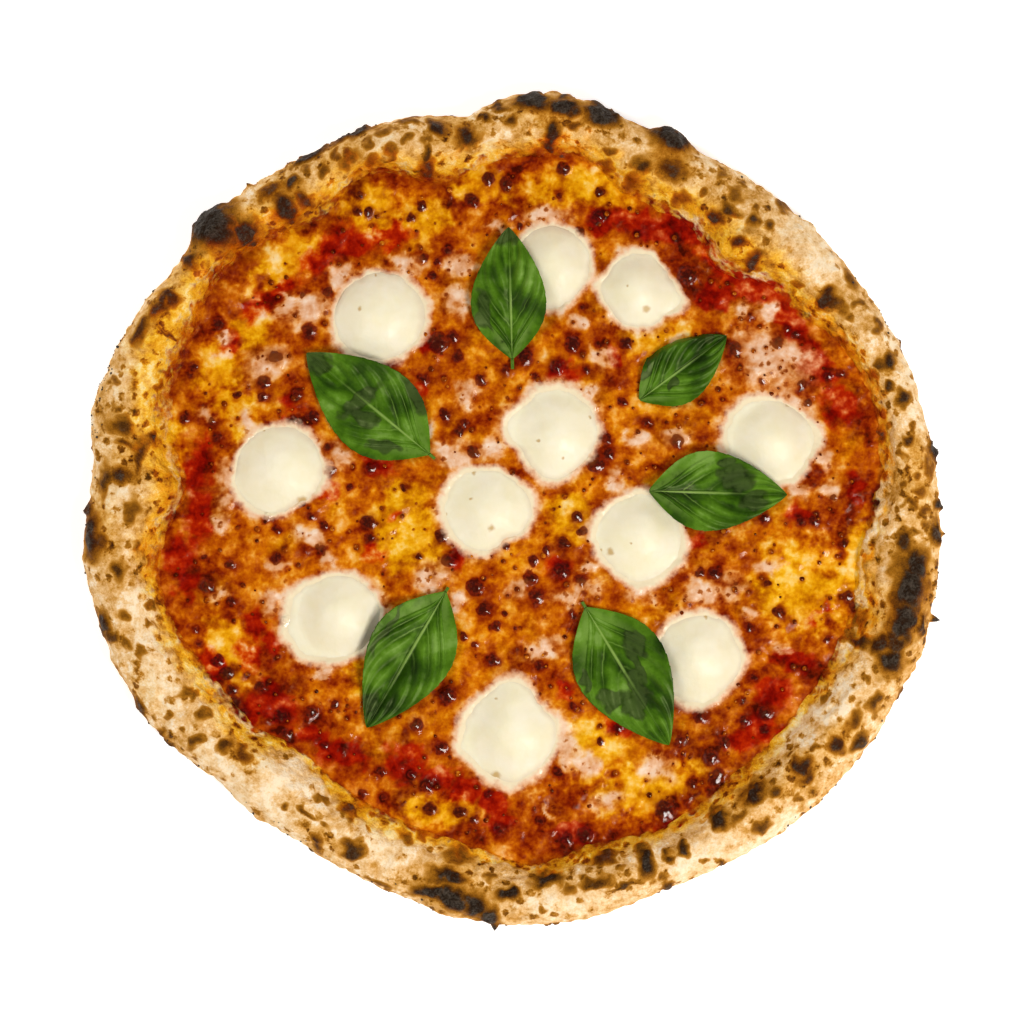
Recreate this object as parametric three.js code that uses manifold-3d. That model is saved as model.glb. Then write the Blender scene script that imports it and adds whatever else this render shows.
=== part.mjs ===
// A margherita pizza fresh from a wood-fired oven: a thin disc of dough with a puffed and charred
// rim, one layer of tomato sauce and melted cheese, eleven slices of soft mozzarella that have
// sunk into low domes, and six basil leaves laid over them.
//
// Millimetres and degrees, +Z up. Angles run anticlockwise from +X. The pizza lies on z = 0, and
// the origin is in the middle of its flat underside.

import * as THREE from "three";
import { ImprovedNoise } from "three/addons/math/ImprovedNoise.js";
import { mergeVertices } from "three/addons/utils/BufferGeometryUtils.js";
import Module from "manifold-3d";

// ---- Driving dimensions ------------------------------------------------------------------

const DOUGH_THICKNESS = 3; // under the topping
const RIM_HEIGHT = 19.5; // of the crest, on average
const RIM_HEIGHT_SWING = 3.5; // how far the crest rises and falls round the pizza
const CREST_SHARE = 0.52; // the crest's place on the way from the sauce's edge to the outside
const WIDEST_HEIGHT = 8; // where the rim reaches furthest out
const TUCK = 9; // how far in from there the underside meets the table
const SLOPE_FOOT = 3; // how far the rim's inner slope runs on under the sauce
const SLOPE_FULLNESS = 0.8; // under 1 makes the inner slope bulge
const CRAG = 0.9; // fine relief of the baked dough
const CRAG_SIZE = 11;

const SAUCE_THICKNESS = 2.4;
const SAUCE_EDGE = 0.8; // thickness where it ends on the rim's slope
const SAUCE_RELIEF = 0.8;
const SAUCE_RELIEF_SIZE = 24;
const SAUCE_RUN_UP = 0.9; // the share of the radius past which the sauce climbs to its edge

const MOZZARELLA_HEIGHT = 6.6; // of a dome over its own skirt
const SKIRT_THICKNESS = 0.9; // of the thin melted edge round a dome
const DOME_SHARE = 0.88; // of a piece's reach that its dome takes up
const DOME_FULLNESS = 0.62; // 0.5 is an ellipsoid, 1 a shallow bowl turned over
const SKIRT_WOBBLE = [0.06, 0.04, 0.03]; // of the reach, at three, four and five lobes

const LEAF_THICKNESS = 0.5;
const LEAF_WIDEST = 0.8; // power that sets where along its length a leaf is widest
const LEAF_FULLNESS = 0.85;
const LEAF_CUP = 1.6; // how far a leaf's sides lift above its midrib
const LEAF_WAVE = 0.8; // swing of its wavy margin
const LEAF_WAVES = 2.5;
const LAY_CLEARANCE = 0.4; // under a leaf, over the highest thing near it
const LAY_REACH = 7; // how far round each point a leaf feels for that, being too stiff to fold

const GAP = 0.3; // between two pieces that touch

const CELLS = 42; // across the sauce's grid of cells
const COLUMNS = 4 * CELLS; // round the rim, so that rim and sauce share their angles
const TUCK_TURNS = [-90, -50, -20]; // degrees round the rim's section, from under it outwards
const OUTER_TURNS = [0, 20, 41, 64, 90]; // and on up to the crest
const SLOPE_STEPS = 4; // from the crest down to the sauce's edge
const DOME_COLUMNS = 16;
const DOME_RINGS = [0.35, 0.6, 0.79, 1];
const LEAF_STATIONS = 10;
const LEAF_STRIPS = 6;
const FEELERS = [0, 45, 90, 135, 180, 225, 270, 315].map(THREE.MathUtils.degToRad);

// The rim's outside as [angle, radius]: its bulges and the flats between them.
const RIM_OUTLINE = [
  [0, 159.5], [20, 157], [34, 155.5], [46, 154], [60, 151], [70, 151.5], [83, 155.5],
  [91, 154], [97, 149.5], [105, 152], [120, 154], [130, 155.5], [145, 155.5], [156, 160],
  [167, 161], [175, 157.5], [186, 160.5], [198, 159.5], [210, 157], [219, 151], [232, 148.5],
  [246, 147.7], [257, 150.5], [267, 154], [285, 154], [293, 152.5], [303, 154.5], [313, 157.5],
  [330, 159], [345, 161.5],
];

// The sauce's edge on the rim's inner slope as [angle, radius]: it runs round each bubble.
const SAUCE_OUTLINE = [
  [0, 133], [8, 138], [15, 140], [25, 138], [33, 130], [41, 126.5], [50, 118], [58, 124.5],
  [70, 125], [80, 133], [91, 131.5], [102, 125], [114, 136.5], [123, 130], [132, 135],
  [141, 139.5], [151, 134.5], [161, 133.5], [169, 127], [176, 121.5], [186, 131], [198, 133],
  [208, 127], [220, 124.5], [228, 118.5], [239, 121], [250, 122.5], [262, 125], [272, 131],
  [285, 127.5], [296, 131], [309, 128], [330, 130], [345, 131.5], [352, 129],
];

// Swellings of the baked dough as [angle, radius, half length along the rim, half width across
// it, height]. The last one is a dent.
const RIM_BUBBLES = [
  [49, 130, 12, 12, 5.5],
  [176, 131, 11, 11, 4.5],
  [137, 154, 12, 13, 5.5],
  [67, 151, 9, 8, 4.5],
  [82, 151, 14, 8, 3.5],
  [126, 141, 9, 8, 2.5],
  [151, 153, 10, 8, 2.5],
  [165, 146, 12, 9, 2],
  [184, 156, 10, 8, 2],
  [203, 145, 16, 11, 2.5],
  [226, 135, 15, 10, 2.5],
  [242, 137, 10, 8, 1.5],
  [261, 147, 15, 9, 3],
  [287, 144, 12, 8, 2],
  [311, 143, 17, 10, 2],
  [346, 150, 20, 10, 2.5],
  [8, 150, 12, 9, 2],
  [26, 147, 13, 9, 2.5],
  [97, 147, 5, 12, -4],
];

// Soft islands in the melted cheese as [x, y, half width, half depth, height].
const CHEESE_ISLANDS = [
  [98, 51, 17, 11, 1],
  [72, -30, 12, 7, 0.8],
  [-75, 75, 13, 8, 0.8],
  [-92, 55, 11, 8, 0.8],
  [-28, -26, 12, 8, 0.8],
  [25, -30, 12, 7, 0.8],
  [12, 110, 12, 7, 0.8],
  [-22, 19, 11, 8, 0.8],
  [21, -89, 8, 11, 0.8],
  [-106, 8, 9, 12, 0.7],
  [-35, 110, 9, 9, 2],
];

// Mozzarella as [x, y, half width, half depth, dome's shift in x, dome's shift in y].
const MOZZARELLA = [
  [-50, 73, 17, 17, 0, 0],
  [15, 91, 15.5, 17, 0, 0],
  [48, 83, 17, 16, -1, 1],
  [16, 29, 16.5, 19, 0, -1],
  [96, 27, 18, 17, 1, 0],
  [-88, 15, 18, 18, 1, 0],
  [-9, 0, 17, 17, 0, 1],
  [47, -9, 17.5, 18, 0, 0],
  [-67, -39, 19, 17, 1, 0],
  [69, -55, 18, 18, 0, 0],
  [-2, -82, 19, 21, 1, 0],
];

// Basil leaves as [base x, base y, tip x, tip y, greatest width, sideways bow].
const BASIL = [
  [0, 53, -1.5, 106, 29, 1],
  [-29, 19.5, -77, 59, 34, 2],
  [47.5, 41.5, 80, 65.5, 22, -1.5],
  [51, 7.5, 102.5, 6, 29, 2],
  [-24, -28.5, -54.5, -81, 34, -1.5],
  [26, -34, 58.5, -87.5, 35, -1.5],
];

// ---- Tools -------------------------------------------------------------------------------

const wasm = await Module();
wasm.setup();

const perlin = new ImprovedNoise();
const radians = THREE.MathUtils.degToRad;
const { lerp, smoothstep, euclideanModulo } = THREE.MathUtils;

// Smooth noise between about -1 and 1 whose lumps are `size` across.
function lumps(x, y, z, size) {
  const fine = perlin.noise((2 * x) / size, (2 * y) / size, (2 * z) / size);
  return perlin.noise(x / size, y / size, z / size) + 0.5 * fine;
}

// A round-topped swelling: 1 in the middle, 0 from a distance of 1 outwards.
function swelling(distance) {
  const fall = Math.max(0, 1 - distance * distance);
  return fall * fall;
}

// A smooth closed curve of radius against angle, through [angle, radius] points from angle 0 on.
function closedCurve(points) {
  const count = points.length;
  const angleOf = (i) => points[euclideanModulo(i, count)][0] + 360 * Math.floor(i / count);
  const radiusOf = (i) => points[euclideanModulo(i, count)][1];
  const slopeAt = (i) => (radiusOf(i + 1) - radiusOf(i - 1)) / (angleOf(i + 1) - angleOf(i - 1));
  return (angle) => {
    const turned = euclideanModulo(angle, 360);
    const i = points.findLastIndex((point) => point[0] <= turned);
    const span = angleOf(i + 1) - angleOf(i);
    const t = (turned - angleOf(i)) / span;
    const ease = t * t * (3 - 2 * t);
    const leaving = slopeAt(i) * span * t * (1 - t) * (1 - t);
    const arriving = slopeAt(i + 1) * span * t * t * (1 - t);
    return lerp(radiusOf(i), radiusOf(i + 1), ease) + leaving - arriving;
  };
}

// Collects the points and triangles of one closed surface.
class Skin {
  positions = [];
  triangles = [];

  point(x, y, z) {
    this.positions.push(x, y, z);
    return this.positions.length / 3 - 1;
  }

  // A triangle, left out where two of its corners are one point.
  triangle(a, b, c) {
    if (a !== b && b !== c && c !== a) this.triangles.push(a, b, c);
  }

  // Four corners, split along a to c.
  quad(a, b, c, d) {
    this.triangle(a, b, c);
    this.triangle(a, c, d);
  }

  // The band from one closed ring of points to the next. It faces out where `next` lies above
  // `ring`, and the other way where it is turned over, with the same splits.
  band(ring, next, turnedOver = false) {
    ring.forEach((a, i) => {
      const b = ring[(i + 1) % ring.length];
      const c = next[(i + 1) % ring.length];
      const d = next[i];
      this.quad(a, ...(turnedOver ? [d, c, b] : [b, c, d]));
    });
  }

  // A fan over a ring from a point in its middle, seen from above, or from below if turned over.
  fan(ring, middle, turnedOver = false) {
    ring.forEach((a, i) => {
      const b = ring[(i + 1) % ring.length];
      this.triangle(middle, ...(turnedOver ? [b, a] : [a, b]));
    });
  }

  geometry() {
    const geometry = new THREE.BufferGeometry();
    geometry.setAttribute("position", new THREE.Float32BufferAttribute(this.positions, 3));
    geometry.setIndex(this.triangles);
    return geometry;
  }
}

// A geometry as a solid that can be cut.
function solidOf(geometry) {
  const merged = mergeVertices(geometry);
  return new wasm.Manifold(
    new wasm.Mesh({
      numProp: 3,
      vertProperties: merged.getAttribute("position").array,
      triVerts: new Uint32Array(merged.getIndex().array),
    }),
  );
}

function geometryOf(solid) {
  const mesh = solid.getMesh();
  const geometry = new THREE.BufferGeometry();
  geometry.setAttribute("position", new THREE.BufferAttribute(mesh.vertProperties, 3));
  geometry.setIndex(new THREE.BufferAttribute(mesh.triVerts, 1));
  return geometry;
}

// ---- Crust -------------------------------------------------------------------------------

const rimRadius = closedCurve(RIM_OUTLINE);
const sauceRadius = closedCurve(SAUCE_OUTLINE);

// How far the swellings push the dough out at a place seen from above.
function bubblesAt(x, y) {
  const radius = Math.hypot(x, y);
  const angle = Math.atan2(y, x);
  return RIM_BUBBLES.reduce((sum, [at, middle, halfLength, halfWidth, height]) => {
    const turn = euclideanModulo(angle - radians(at) + Math.PI, 2 * Math.PI) - Math.PI;
    const distance = Math.hypot((turn * middle) / halfLength, (radius - middle) / halfWidth);
    return sum + height * swelling(distance);
  }, 0);
}

// The smooth cross-section of the rim at one angle as [radius, height], from the edge of the flat
// underside, round the outside, over the crest, and down to its foot under the sauce.
function rimSection(angle) {
  const outside = rimRadius(angle);
  const inside = sauceRadius(angle);
  const crestRadius = lerp(inside, outside, CREST_SHARE);
  const footRadius = inside - SLOPE_FOOT;
  const x = outside * Math.cos(radians(angle));
  const y = outside * Math.sin(radians(angle));
  const crest = RIM_HEIGHT + RIM_HEIGHT_SWING * lumps(x, y, 0, 70);
  const tuck = TUCK_TURNS.map((turn) => [
    outside - TUCK + TUCK * Math.cos(radians(turn)),
    WIDEST_HEIGHT * (1 + Math.sin(radians(turn))),
  ]);
  const outer = OUTER_TURNS.map((turn) => [
    crestRadius + (outside - crestRadius) * Math.cos(radians(turn)),
    WIDEST_HEIGHT + (crest - WIDEST_HEIGHT) * Math.sin(radians(turn)),
  ]);
  const slope = [];
  for (let step = 1; step <= SLOPE_STEPS; step++) {
    const radius = lerp(crestRadius, inside, step / SLOPE_STEPS);
    const down = (crestRadius - radius) / (crestRadius - footRadius);
    const share = (0.5 + 0.5 * Math.cos(Math.PI * down)) ** SLOPE_FULLNESS;
    slope.push([radius, lerp(DOUGH_THICKNESS, crest, share)]);
  }
  return [...tuck, ...outer, ...slope, [footRadius, DOUGH_THICKNESS]];
}

// One column of the crust's skin: the rim's section with its crags and bubbles, which fade out
// towards the table. The first and last points stay in their planes, and the one where the sauce
// ends moves only up or down.
function crustColumn(angle) {
  const section = rimSection(angle);
  const direction = new THREE.Vector2(Math.cos(radians(angle)), Math.sin(radians(angle)));
  return section.map(([radius, height], i) => {
    const x = radius * direction.x;
    const y = radius * direction.y;
    if (i === 0 || i === section.length - 1) return new THREE.Vector3(x, y, height);
    const along = new THREE.Vector2(
      section[i + 1][0] - section[i - 1][0],
      section[i + 1][1] - section[i - 1][1],
    ).normalize();
    const hold = Math.min(1, height / WIDEST_HEIGHT);
    const push = hold * (CRAG * lumps(x, y, height, CRAG_SIZE) + bubblesAt(x, y));
    const atSauceEdge = i === section.length - 2;
    const out = atSauceEdge ? radius : radius + along.y * push;
    return new THREE.Vector3(out * direction.x, out * direction.y, height - along.x * push);
  });
}

const crustColumns = Array.from({ length: COLUMNS }, (_, i) => crustColumn((360 * i) / COLUMNS));

function crustGeometry() {
  const skin = new Skin();
  const rings = crustColumns[0].map((_, level) =>
    crustColumns.map((column) => skin.point(...column[level].toArray())),
  );
  skin.fan(rings[0], skin.point(0, 0, 0), true);
  for (let level = 1; level < rings.length; level++) skin.band(rings[level - 1], rings[level]);
  skin.fan(rings.at(-1), skin.point(0, 0, DOUGH_THICKNESS));
  return skin.geometry();
}

// ---- Sauce and melted cheese -------------------------------------------------------------

// Where an angle falls among the columns, counted in columns.
function columnPlace(angle) {
  return (euclideanModulo(angle, 360) / 360) * COLUMNS;
}

// Height of the sauce's edge at any angle, over the crust that it ends on.
function sauceEdgeHeight(angle) {
  const place = columnPlace(angle);
  const before = crustColumns[Math.floor(place) % COLUMNS].at(-2).z;
  const after = crustColumns[Math.ceil(place) % COLUMNS].at(-2).z;
  return lerp(before, after, place % 1) + GAP + SAUCE_EDGE;
}

// Height of the sauce's uneven top at a place seen from above.
function sauceTop(x, y) {
  const angle = THREE.MathUtils.radToDeg(Math.atan2(y, x));
  const share = Math.hypot(x, y) / sauceRadius(angle);
  const islands = CHEESE_ISLANDS.reduce(
    (sum, [atX, atY, halfWidth, halfDepth, height]) =>
      sum + height * swelling(Math.hypot((x - atX) / halfWidth, (y - atY) / halfDepth)),
    0,
  );
  const relief = SAUCE_RELIEF * lumps(x, y, 5, SAUCE_RELIEF_SIZE) + islands;
  const level = DOUGH_THICKNESS + GAP + SAUCE_THICKNESS + relief;
  return lerp(level, sauceEdgeHeight(angle), smoothstep(share, SAUCE_RUN_UP, 1));
}

// A square grid pressed into a disc. Each of its points is a share of the way out at an angle,
// and its edge has 4 * cells equal steps of angle.
function discPlace(i, j, cells) {
  const across = (2 * i) / cells - 1;
  const up = (2 * j) / cells - 1;
  const share = Math.max(Math.abs(across), Math.abs(up));
  if (share === 0) return { share, angle: 0 };
  const sideways = Math.abs(across) >= Math.abs(up);
  if (sideways) return { share, angle: (across > 0 ? 0 : 180) + (45 * up) / across };
  return { share, angle: (up > 0 ? 90 : 270) - (45 * across) / up };
}

function sauceGeometry(lift) {
  const skin = new Skin();
  const grid = [];
  const edge = new Array(COLUMNS);
  for (let i = 0; i <= CELLS; i++) {
    grid.push([]);
    for (let j = 0; j <= CELLS; j++) {
      const { share, angle } = discPlace(i, j, CELLS);
      const radius = share * sauceRadius(angle);
      const x = radius * Math.cos(radians(angle));
      const y = radius * Math.sin(radians(angle));
      const height = share === 1 ? sauceEdgeHeight(angle) : sauceTop(x, y);
      const point = skin.point(x, y, height + lift);
      grid[i].push(point);
      if (share === 1) edge[Math.round(columnPlace(angle)) % COLUMNS] = point;
    }
  }
  for (let i = 0; i < CELLS; i++) {
    for (let j = 0; j < CELLS; j++) {
      skin.quad(grid[i][j], grid[i + 1][j], grid[i + 1][j + 1], grid[i][j + 1]);
    }
  }
  const underEdge = [];
  const underFoot = [];
  crustColumns.forEach((column, i) => {
    const angle = radians((360 * i) / COLUMNS);
    const radius = sauceRadius((360 * i) / COLUMNS);
    const floor = column.at(-2).z + GAP + lift;
    underEdge.push(skin.point(radius * Math.cos(angle), radius * Math.sin(angle), floor));
    const foot = column.at(-1);
    underFoot.push(skin.point(foot.x, foot.y, foot.z + GAP + lift));
  });
  skin.band(underEdge, edge);
  skin.band(underEdge, underFoot, true);
  skin.fan(underFoot, skin.point(0, 0, DOUGH_THICKNESS + GAP + lift), true);
  return skin.geometry();
}

// ---- Mozzarella --------------------------------------------------------------------------

// One piece of mozzarella: its outline, its height over any place, and whether it covers one.
function mozzarellaForm([x, y, halfWidth, halfDepth, shiftX, shiftY], number) {
  THREE.MathUtils.seededRandom(number + 1);
  const phases = SKIRT_WOBBLE.map(() => 2 * Math.PI * THREE.MathUtils.seededRandom());
  const reach = (turn) => {
    const oval = Math.hypot(Math.cos(turn) / halfWidth, Math.sin(turn) / halfDepth);
    const lobes = SKIRT_WOBBLE.map((size, i) => size * Math.cos((i + 3) * turn + phases[i]));
    return (1 + lobes.reduce((sum, lobe) => sum + lobe)) / oval;
  };
  const shareAt = (atX, atY) => Math.hypot(atX - x, atY - y) / reach(Math.atan2(atY - y, atX - x));
  const topAt = (atX, atY) => {
    const across = (atX - x - shiftX) / (DOME_SHARE * halfWidth);
    const up = (atY - y - shiftY) / (DOME_SHARE * halfDepth);
    const dome = Math.max(0, 1 - across * across - up * up) ** DOME_FULLNESS;
    return sauceTop(atX, atY) + GAP + SKIRT_THICKNESS + MOZZARELLA_HEIGHT * dome;
  };
  return { x, y, reach, shareAt, topAt };
}

const mozzarellaForms = MOZZARELLA.map(mozzarellaForm);

// The piece down into the sauce, then cut away where the sauce, raised by the gap, already is.
function mozzarellaGeometry(form, raisedSauce) {
  const skin = new Skin();
  const ringAt = (share, heightAt) =>
    Array.from({ length: DOME_COLUMNS }, (_, i) => {
      const turn = (2 * Math.PI * i) / DOME_COLUMNS;
      const x = form.x + share * form.reach(turn) * Math.cos(turn);
      const y = form.y + share * form.reach(turn) * Math.sin(turn);
      return skin.point(x, y, heightAt(x, y));
    });
  const base = DOUGH_THICKNESS + 4 * GAP;
  const bottom = ringAt(1, () => base);
  const rings = DOME_RINGS.map((share) => ringAt(share, form.topAt)).reverse();
  skin.fan(bottom, skin.point(form.x, form.y, base), true);
  [bottom, ...rings].reduce((ring, next) => {
    skin.band(ring, next);
    return next;
  });
  skin.fan(rings.at(-1), skin.point(form.x, form.y, form.topAt(form.x, form.y)));
  return geometryOf(solidOf(skin.geometry()).subtract(raisedSauce));
}

// ---- Basil -------------------------------------------------------------------------------

// Height of what lies at a place: the sauce, or a piece of mozzarella on it.
function toppingTop(x, y) {
  const covering = mozzarellaForms.filter((form) => form.shareAt(x, y) <= 1);
  return Math.max(sauceTop(x, y), ...covering.map((form) => form.topAt(x, y)));
}

// Height at which a leaf lies there: over the highest things that it feels close by, evened out.
function layHeight(x, y) {
  const around = (heightAt, atX, atY) => [
    heightAt(atX, atY),
    ...FEELERS.map((turn) =>
      heightAt(atX + LAY_REACH * Math.cos(turn), atY + LAY_REACH * Math.sin(turn)),
    ),
  ];
  const highest = (atX, atY) => Math.max(...around(toppingTop, atX, atY));
  const felt = around(highest, x, y);
  return felt.reduce((sum, height) => sum + height) / felt.length + LAY_CLEARANCE;
}

// A pointed oval leaf. Its underside and upper side share one grid: rows from base to tip, each
// with points from one margin to the other, which come together in a row of one point at the ends.
function leafGeometry([baseX, baseY, tipX, tipY, width, bow], number) {
  const base = new THREE.Vector2(baseX, baseY);
  const along = new THREE.Vector2(tipX, tipY).sub(base);
  const across = new THREE.Vector2(-along.y, along.x).normalize();
  const skin = new Skin();
  const pointAt = (t, side, raise) => {
    const halfWidth = (width / 2) * Math.sin(Math.PI * t ** LEAF_WIDEST) ** LEAF_FULLNESS;
    const sideways = side * halfWidth + bow * Math.sin(Math.PI * t);
    const place = base.clone().addScaledVector(along, t).addScaledVector(across, sideways);
    const ripple = Math.sin(2 * Math.PI * LEAF_WAVES * t + side + number);
    const curl = side * side * (LEAF_CUP + LEAF_WAVE * ripple) * Math.sin(Math.PI * t);
    return skin.point(place.x, place.y, layHeight(place.x, place.y) + curl + raise);
  };
  const rows = (raise) =>
    Array.from({ length: LEAF_STATIONS + 1 }, (_, i) => {
      const t = i / LEAF_STATIONS;
      if (i % LEAF_STATIONS === 0) return new Array(LEAF_STRIPS + 1).fill(pointAt(t, 0, raise));
      return Array.from({ length: LEAF_STRIPS + 1 }, (_, j) =>
        pointAt(t, (2 * j) / LEAF_STRIPS - 1, raise),
      );
    });
  const under = rows(0);
  const over = rows(LEAF_THICKNESS);
  for (let i = 0; i < LEAF_STATIONS; i++) {
    for (let j = 0; j < LEAF_STRIPS; j++) {
      skin.quad(over[i][j], over[i + 1][j], over[i + 1][j + 1], over[i][j + 1]);
      skin.quad(under[i][j], under[i][j + 1], under[i + 1][j + 1], under[i + 1][j]);
    }
    skin.quad(under[i][0], under[i + 1][0], over[i + 1][0], over[i][0]);
    skin.quad(under[i + 1].at(-1), under[i].at(-1), over[i].at(-1), over[i + 1].at(-1));
  }
  return skin.geometry();
}

// ---- The pizza ---------------------------------------------------------------------------

const BAKED_DOUGH = { color: 0xe0b585, roughness: 0.85 };
const SAUCE_AND_CHEESE = { color: 0xb8420f, roughness: 0.35 };
const SOFT_CHEESE = { color: 0xf4f1dc, roughness: 0.4 };
const BASIL_GREEN = { color: 0x3d6a22, roughness: 0.4 };

function piece(name, geometry, finish) {
  const material = new THREE.MeshStandardMaterial({ ...finish, metalness: 0, flatShading: true });
  const mesh = new THREE.Mesh(geometry, material);
  mesh.name = name;
  return mesh;
}

const pizza = new THREE.Group();
pizza.add(piece("crust", crustGeometry(), BAKED_DOUGH));
pizza.add(piece("sauce_and_cheese", sauceGeometry(0), SAUCE_AND_CHEESE));

const raisedSauce = solidOf(sauceGeometry(GAP));
mozzarellaForms.forEach((form, i) => {
  pizza.add(piece(`mozzarella_${i + 1}`, mozzarellaGeometry(form, raisedSauce), SOFT_CHEESE));
});

BASIL.forEach((leaf, i) => {
  pizza.add(piece(`basil_leaf_${i + 1}`, leafGeometry(leaf, i), BASIL_GREEN));
});

export default pizza;
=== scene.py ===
# %% [markdown]
# # A margherita pizza
#
# A pizza from a very hot stone oven: a thin disc of dough with a puffed, blistered rim, tomato
# and melted cheese in one oily layer, soft domes of mozzarella and six leaves of basil.
#
# The plain solids of all these are already packed as the frame. They have the right sizes and
# places and are made of a few thousand flat triangles. Each one is felt with rays here, and a
# fine skin with the real relief and finish is laid over it.
#
# Lengths are millimetres while a shape is worked out, and metres once it is a mesh.

# %% Load the frame
import math
from itertools import product

import bpy
import numpy as np
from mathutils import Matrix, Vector
from mathutils.bvhtree import BVHTree


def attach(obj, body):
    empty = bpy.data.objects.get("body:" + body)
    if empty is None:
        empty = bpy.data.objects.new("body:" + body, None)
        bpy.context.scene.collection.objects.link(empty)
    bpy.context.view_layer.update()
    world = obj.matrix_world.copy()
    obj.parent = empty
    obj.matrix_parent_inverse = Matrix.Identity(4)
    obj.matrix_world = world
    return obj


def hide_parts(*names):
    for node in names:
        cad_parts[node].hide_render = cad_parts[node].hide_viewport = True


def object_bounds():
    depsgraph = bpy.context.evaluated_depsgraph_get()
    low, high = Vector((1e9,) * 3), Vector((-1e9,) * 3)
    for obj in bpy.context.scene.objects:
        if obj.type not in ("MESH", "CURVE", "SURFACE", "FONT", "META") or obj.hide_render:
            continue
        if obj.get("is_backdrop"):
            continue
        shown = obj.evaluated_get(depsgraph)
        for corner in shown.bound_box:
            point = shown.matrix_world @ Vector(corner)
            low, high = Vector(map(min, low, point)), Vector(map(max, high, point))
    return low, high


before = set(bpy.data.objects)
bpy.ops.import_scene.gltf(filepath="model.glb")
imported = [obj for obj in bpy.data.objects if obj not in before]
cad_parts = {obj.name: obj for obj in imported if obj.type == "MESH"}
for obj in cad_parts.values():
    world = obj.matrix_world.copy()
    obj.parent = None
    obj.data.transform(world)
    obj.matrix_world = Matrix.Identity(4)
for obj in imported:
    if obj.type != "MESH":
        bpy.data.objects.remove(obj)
cad_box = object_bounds()
MM = 0.001

print("nodes in the frame:", len(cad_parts))

# %% [markdown]
# ## Writing materials as sums
#
# A node tree is easiest to read as arithmetic. A small class wraps an output socket, so that
# `1 - mask` adds the Math node for it, and one method adds any other node: its settings first,
# because they can change its sockets, and then its inputs. The same class writes the trees of
# Geometry Nodes later on.

# %% Sockets and nodes
class Socket:
    """A node's output. Arithmetic on it adds Math nodes to its tree."""

    def __init__(self, tree, source):
        self.tree = tree
        self.source = source

    def math(self, operation, *values):
        return self.tree.node("ShaderNodeMath", {"operation": operation}, dict(enumerate(values)))

    def output(self, name):
        return Socket(self.tree, self.source.node.outputs[name])

    def __add__(self, other):
        return self.math("ADD", self, other)

    def __radd__(self, other):
        return self.math("ADD", other, self)

    def __sub__(self, other):
        return self.math("SUBTRACT", self, other)

    def __rsub__(self, other):
        return self.math("SUBTRACT", other, self)

    def __mul__(self, other):
        return self.math("MULTIPLY", self, other)

    def __rmul__(self, other):
        return self.math("MULTIPLY", other, self)

    def __truediv__(self, other):
        return self.math("DIVIDE", self, other)

    def __pow__(self, other):
        return self.math("POWER", self, other)

    def sine(self):
        return self.math("SINE", self)

    def size(self):
        return self.math("ABSOLUTE", self)

    def fraction(self):
        return self.math("FRACT", self)

    def at_least(self, other):
        return self.math("MAXIMUM", self, other)

    def at_most(self, other):
        return self.math("MINIMUM", self, other)

    def rise(self, low, high):
        """0 below low, 1 above high, and smooth in between."""
        inputs = {"Value": self, "From Min": low, "From Max": high}
        return self.tree.node("ShaderNodeMapRange", {"interpolation_type": "SMOOTHSTEP"}, inputs)


def blend(share, first, second):
    """The number between two others by that share."""
    return first + share * (second - first)


class Tree:
    """A node tree that is written by adding nodes in the order of their use."""

    SPACING = 190

    def __init__(self, tree):
        self.tree = tree
        tree.nodes.clear()

    def node(self, kind, settings=None, inputs=None, output=0):
        made = self.tree.nodes.new(kind)
        made.location = (self.SPACING * len(self.tree.nodes), 0)
        for name, value in (settings or {}).items():
            if name == "stops":
                self.set_stops(made.color_ramp, value)
            else:
                setattr(made, name, value)
        for key, value in (inputs or {}).items():
            if isinstance(value, Socket):
                self.tree.links.new(value.source, made.inputs[key])
            else:
                made.inputs[key].default_value = value
        return Socket(self, made.outputs[output]) if made.outputs else made

    @staticmethod
    def set_stops(ramp, stops):
        for element in list(ramp.elements)[1:]:
            ramp.elements.remove(element)
        for i, (position, colour) in enumerate(stops):
            element = ramp.elements[0] if i == 0 else ramp.elements.new(position)
            element.position = position
            element.color = colour


# %% [markdown]
# ## Camera and light
#
# A pizza is best seen from straight above. A short lens would look at the near side of the rim
# and miss the far one, so the camera stands high with a long lens.
#
# Oil, tomato and leaves are glossy, and what they mirror matters more than the lamps' strength.
# Seen from above they mirror the top of the sky, so a white sky would lay a milky veil on them.
# The sky here is white at the horizon and dim overhead. A broad lamp on the lower right models
# the domes, a small one beside it makes the sparks on wet blisters, and one opposite fills in
# without being mirrored.

# %% Camera
CAMERA_HEIGHT = 2.4
TOPPING_HEIGHT = 0.008
VIEW_WIDTH = 0.3824
VIEW_CENTRE = (-0.0002, -0.0004)
SENSOR_WIDTH = 36

camera = bpy.data.objects.new("camera", bpy.data.cameras.new("camera"))
bpy.context.collection.objects.link(camera)
camera.location = (*VIEW_CENTRE, CAMERA_HEIGHT)
camera.data.sensor_width = SENSOR_WIDTH
camera.data.lens = SENSOR_WIDTH * (CAMERA_HEIGHT - TOPPING_HEIGHT) / VIEW_WIDTH
camera.data.dof.use_dof = False
bpy.context.scene.camera = camera
bpy.context.scene.view_settings.view_transform = "Standard"

print("lens of", round(camera.data.lens), "mm")

# %% Lamps and sky
HORIZON_GLOW = 1.05
OVERHEAD_GLOW = 0.12
DIMS_BETWEEN = (0.15, 0.6)
SOFT_WHITE = (1, 0.98, 0.94)
WARM_WHITE = (1, 0.93, 0.84)


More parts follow.
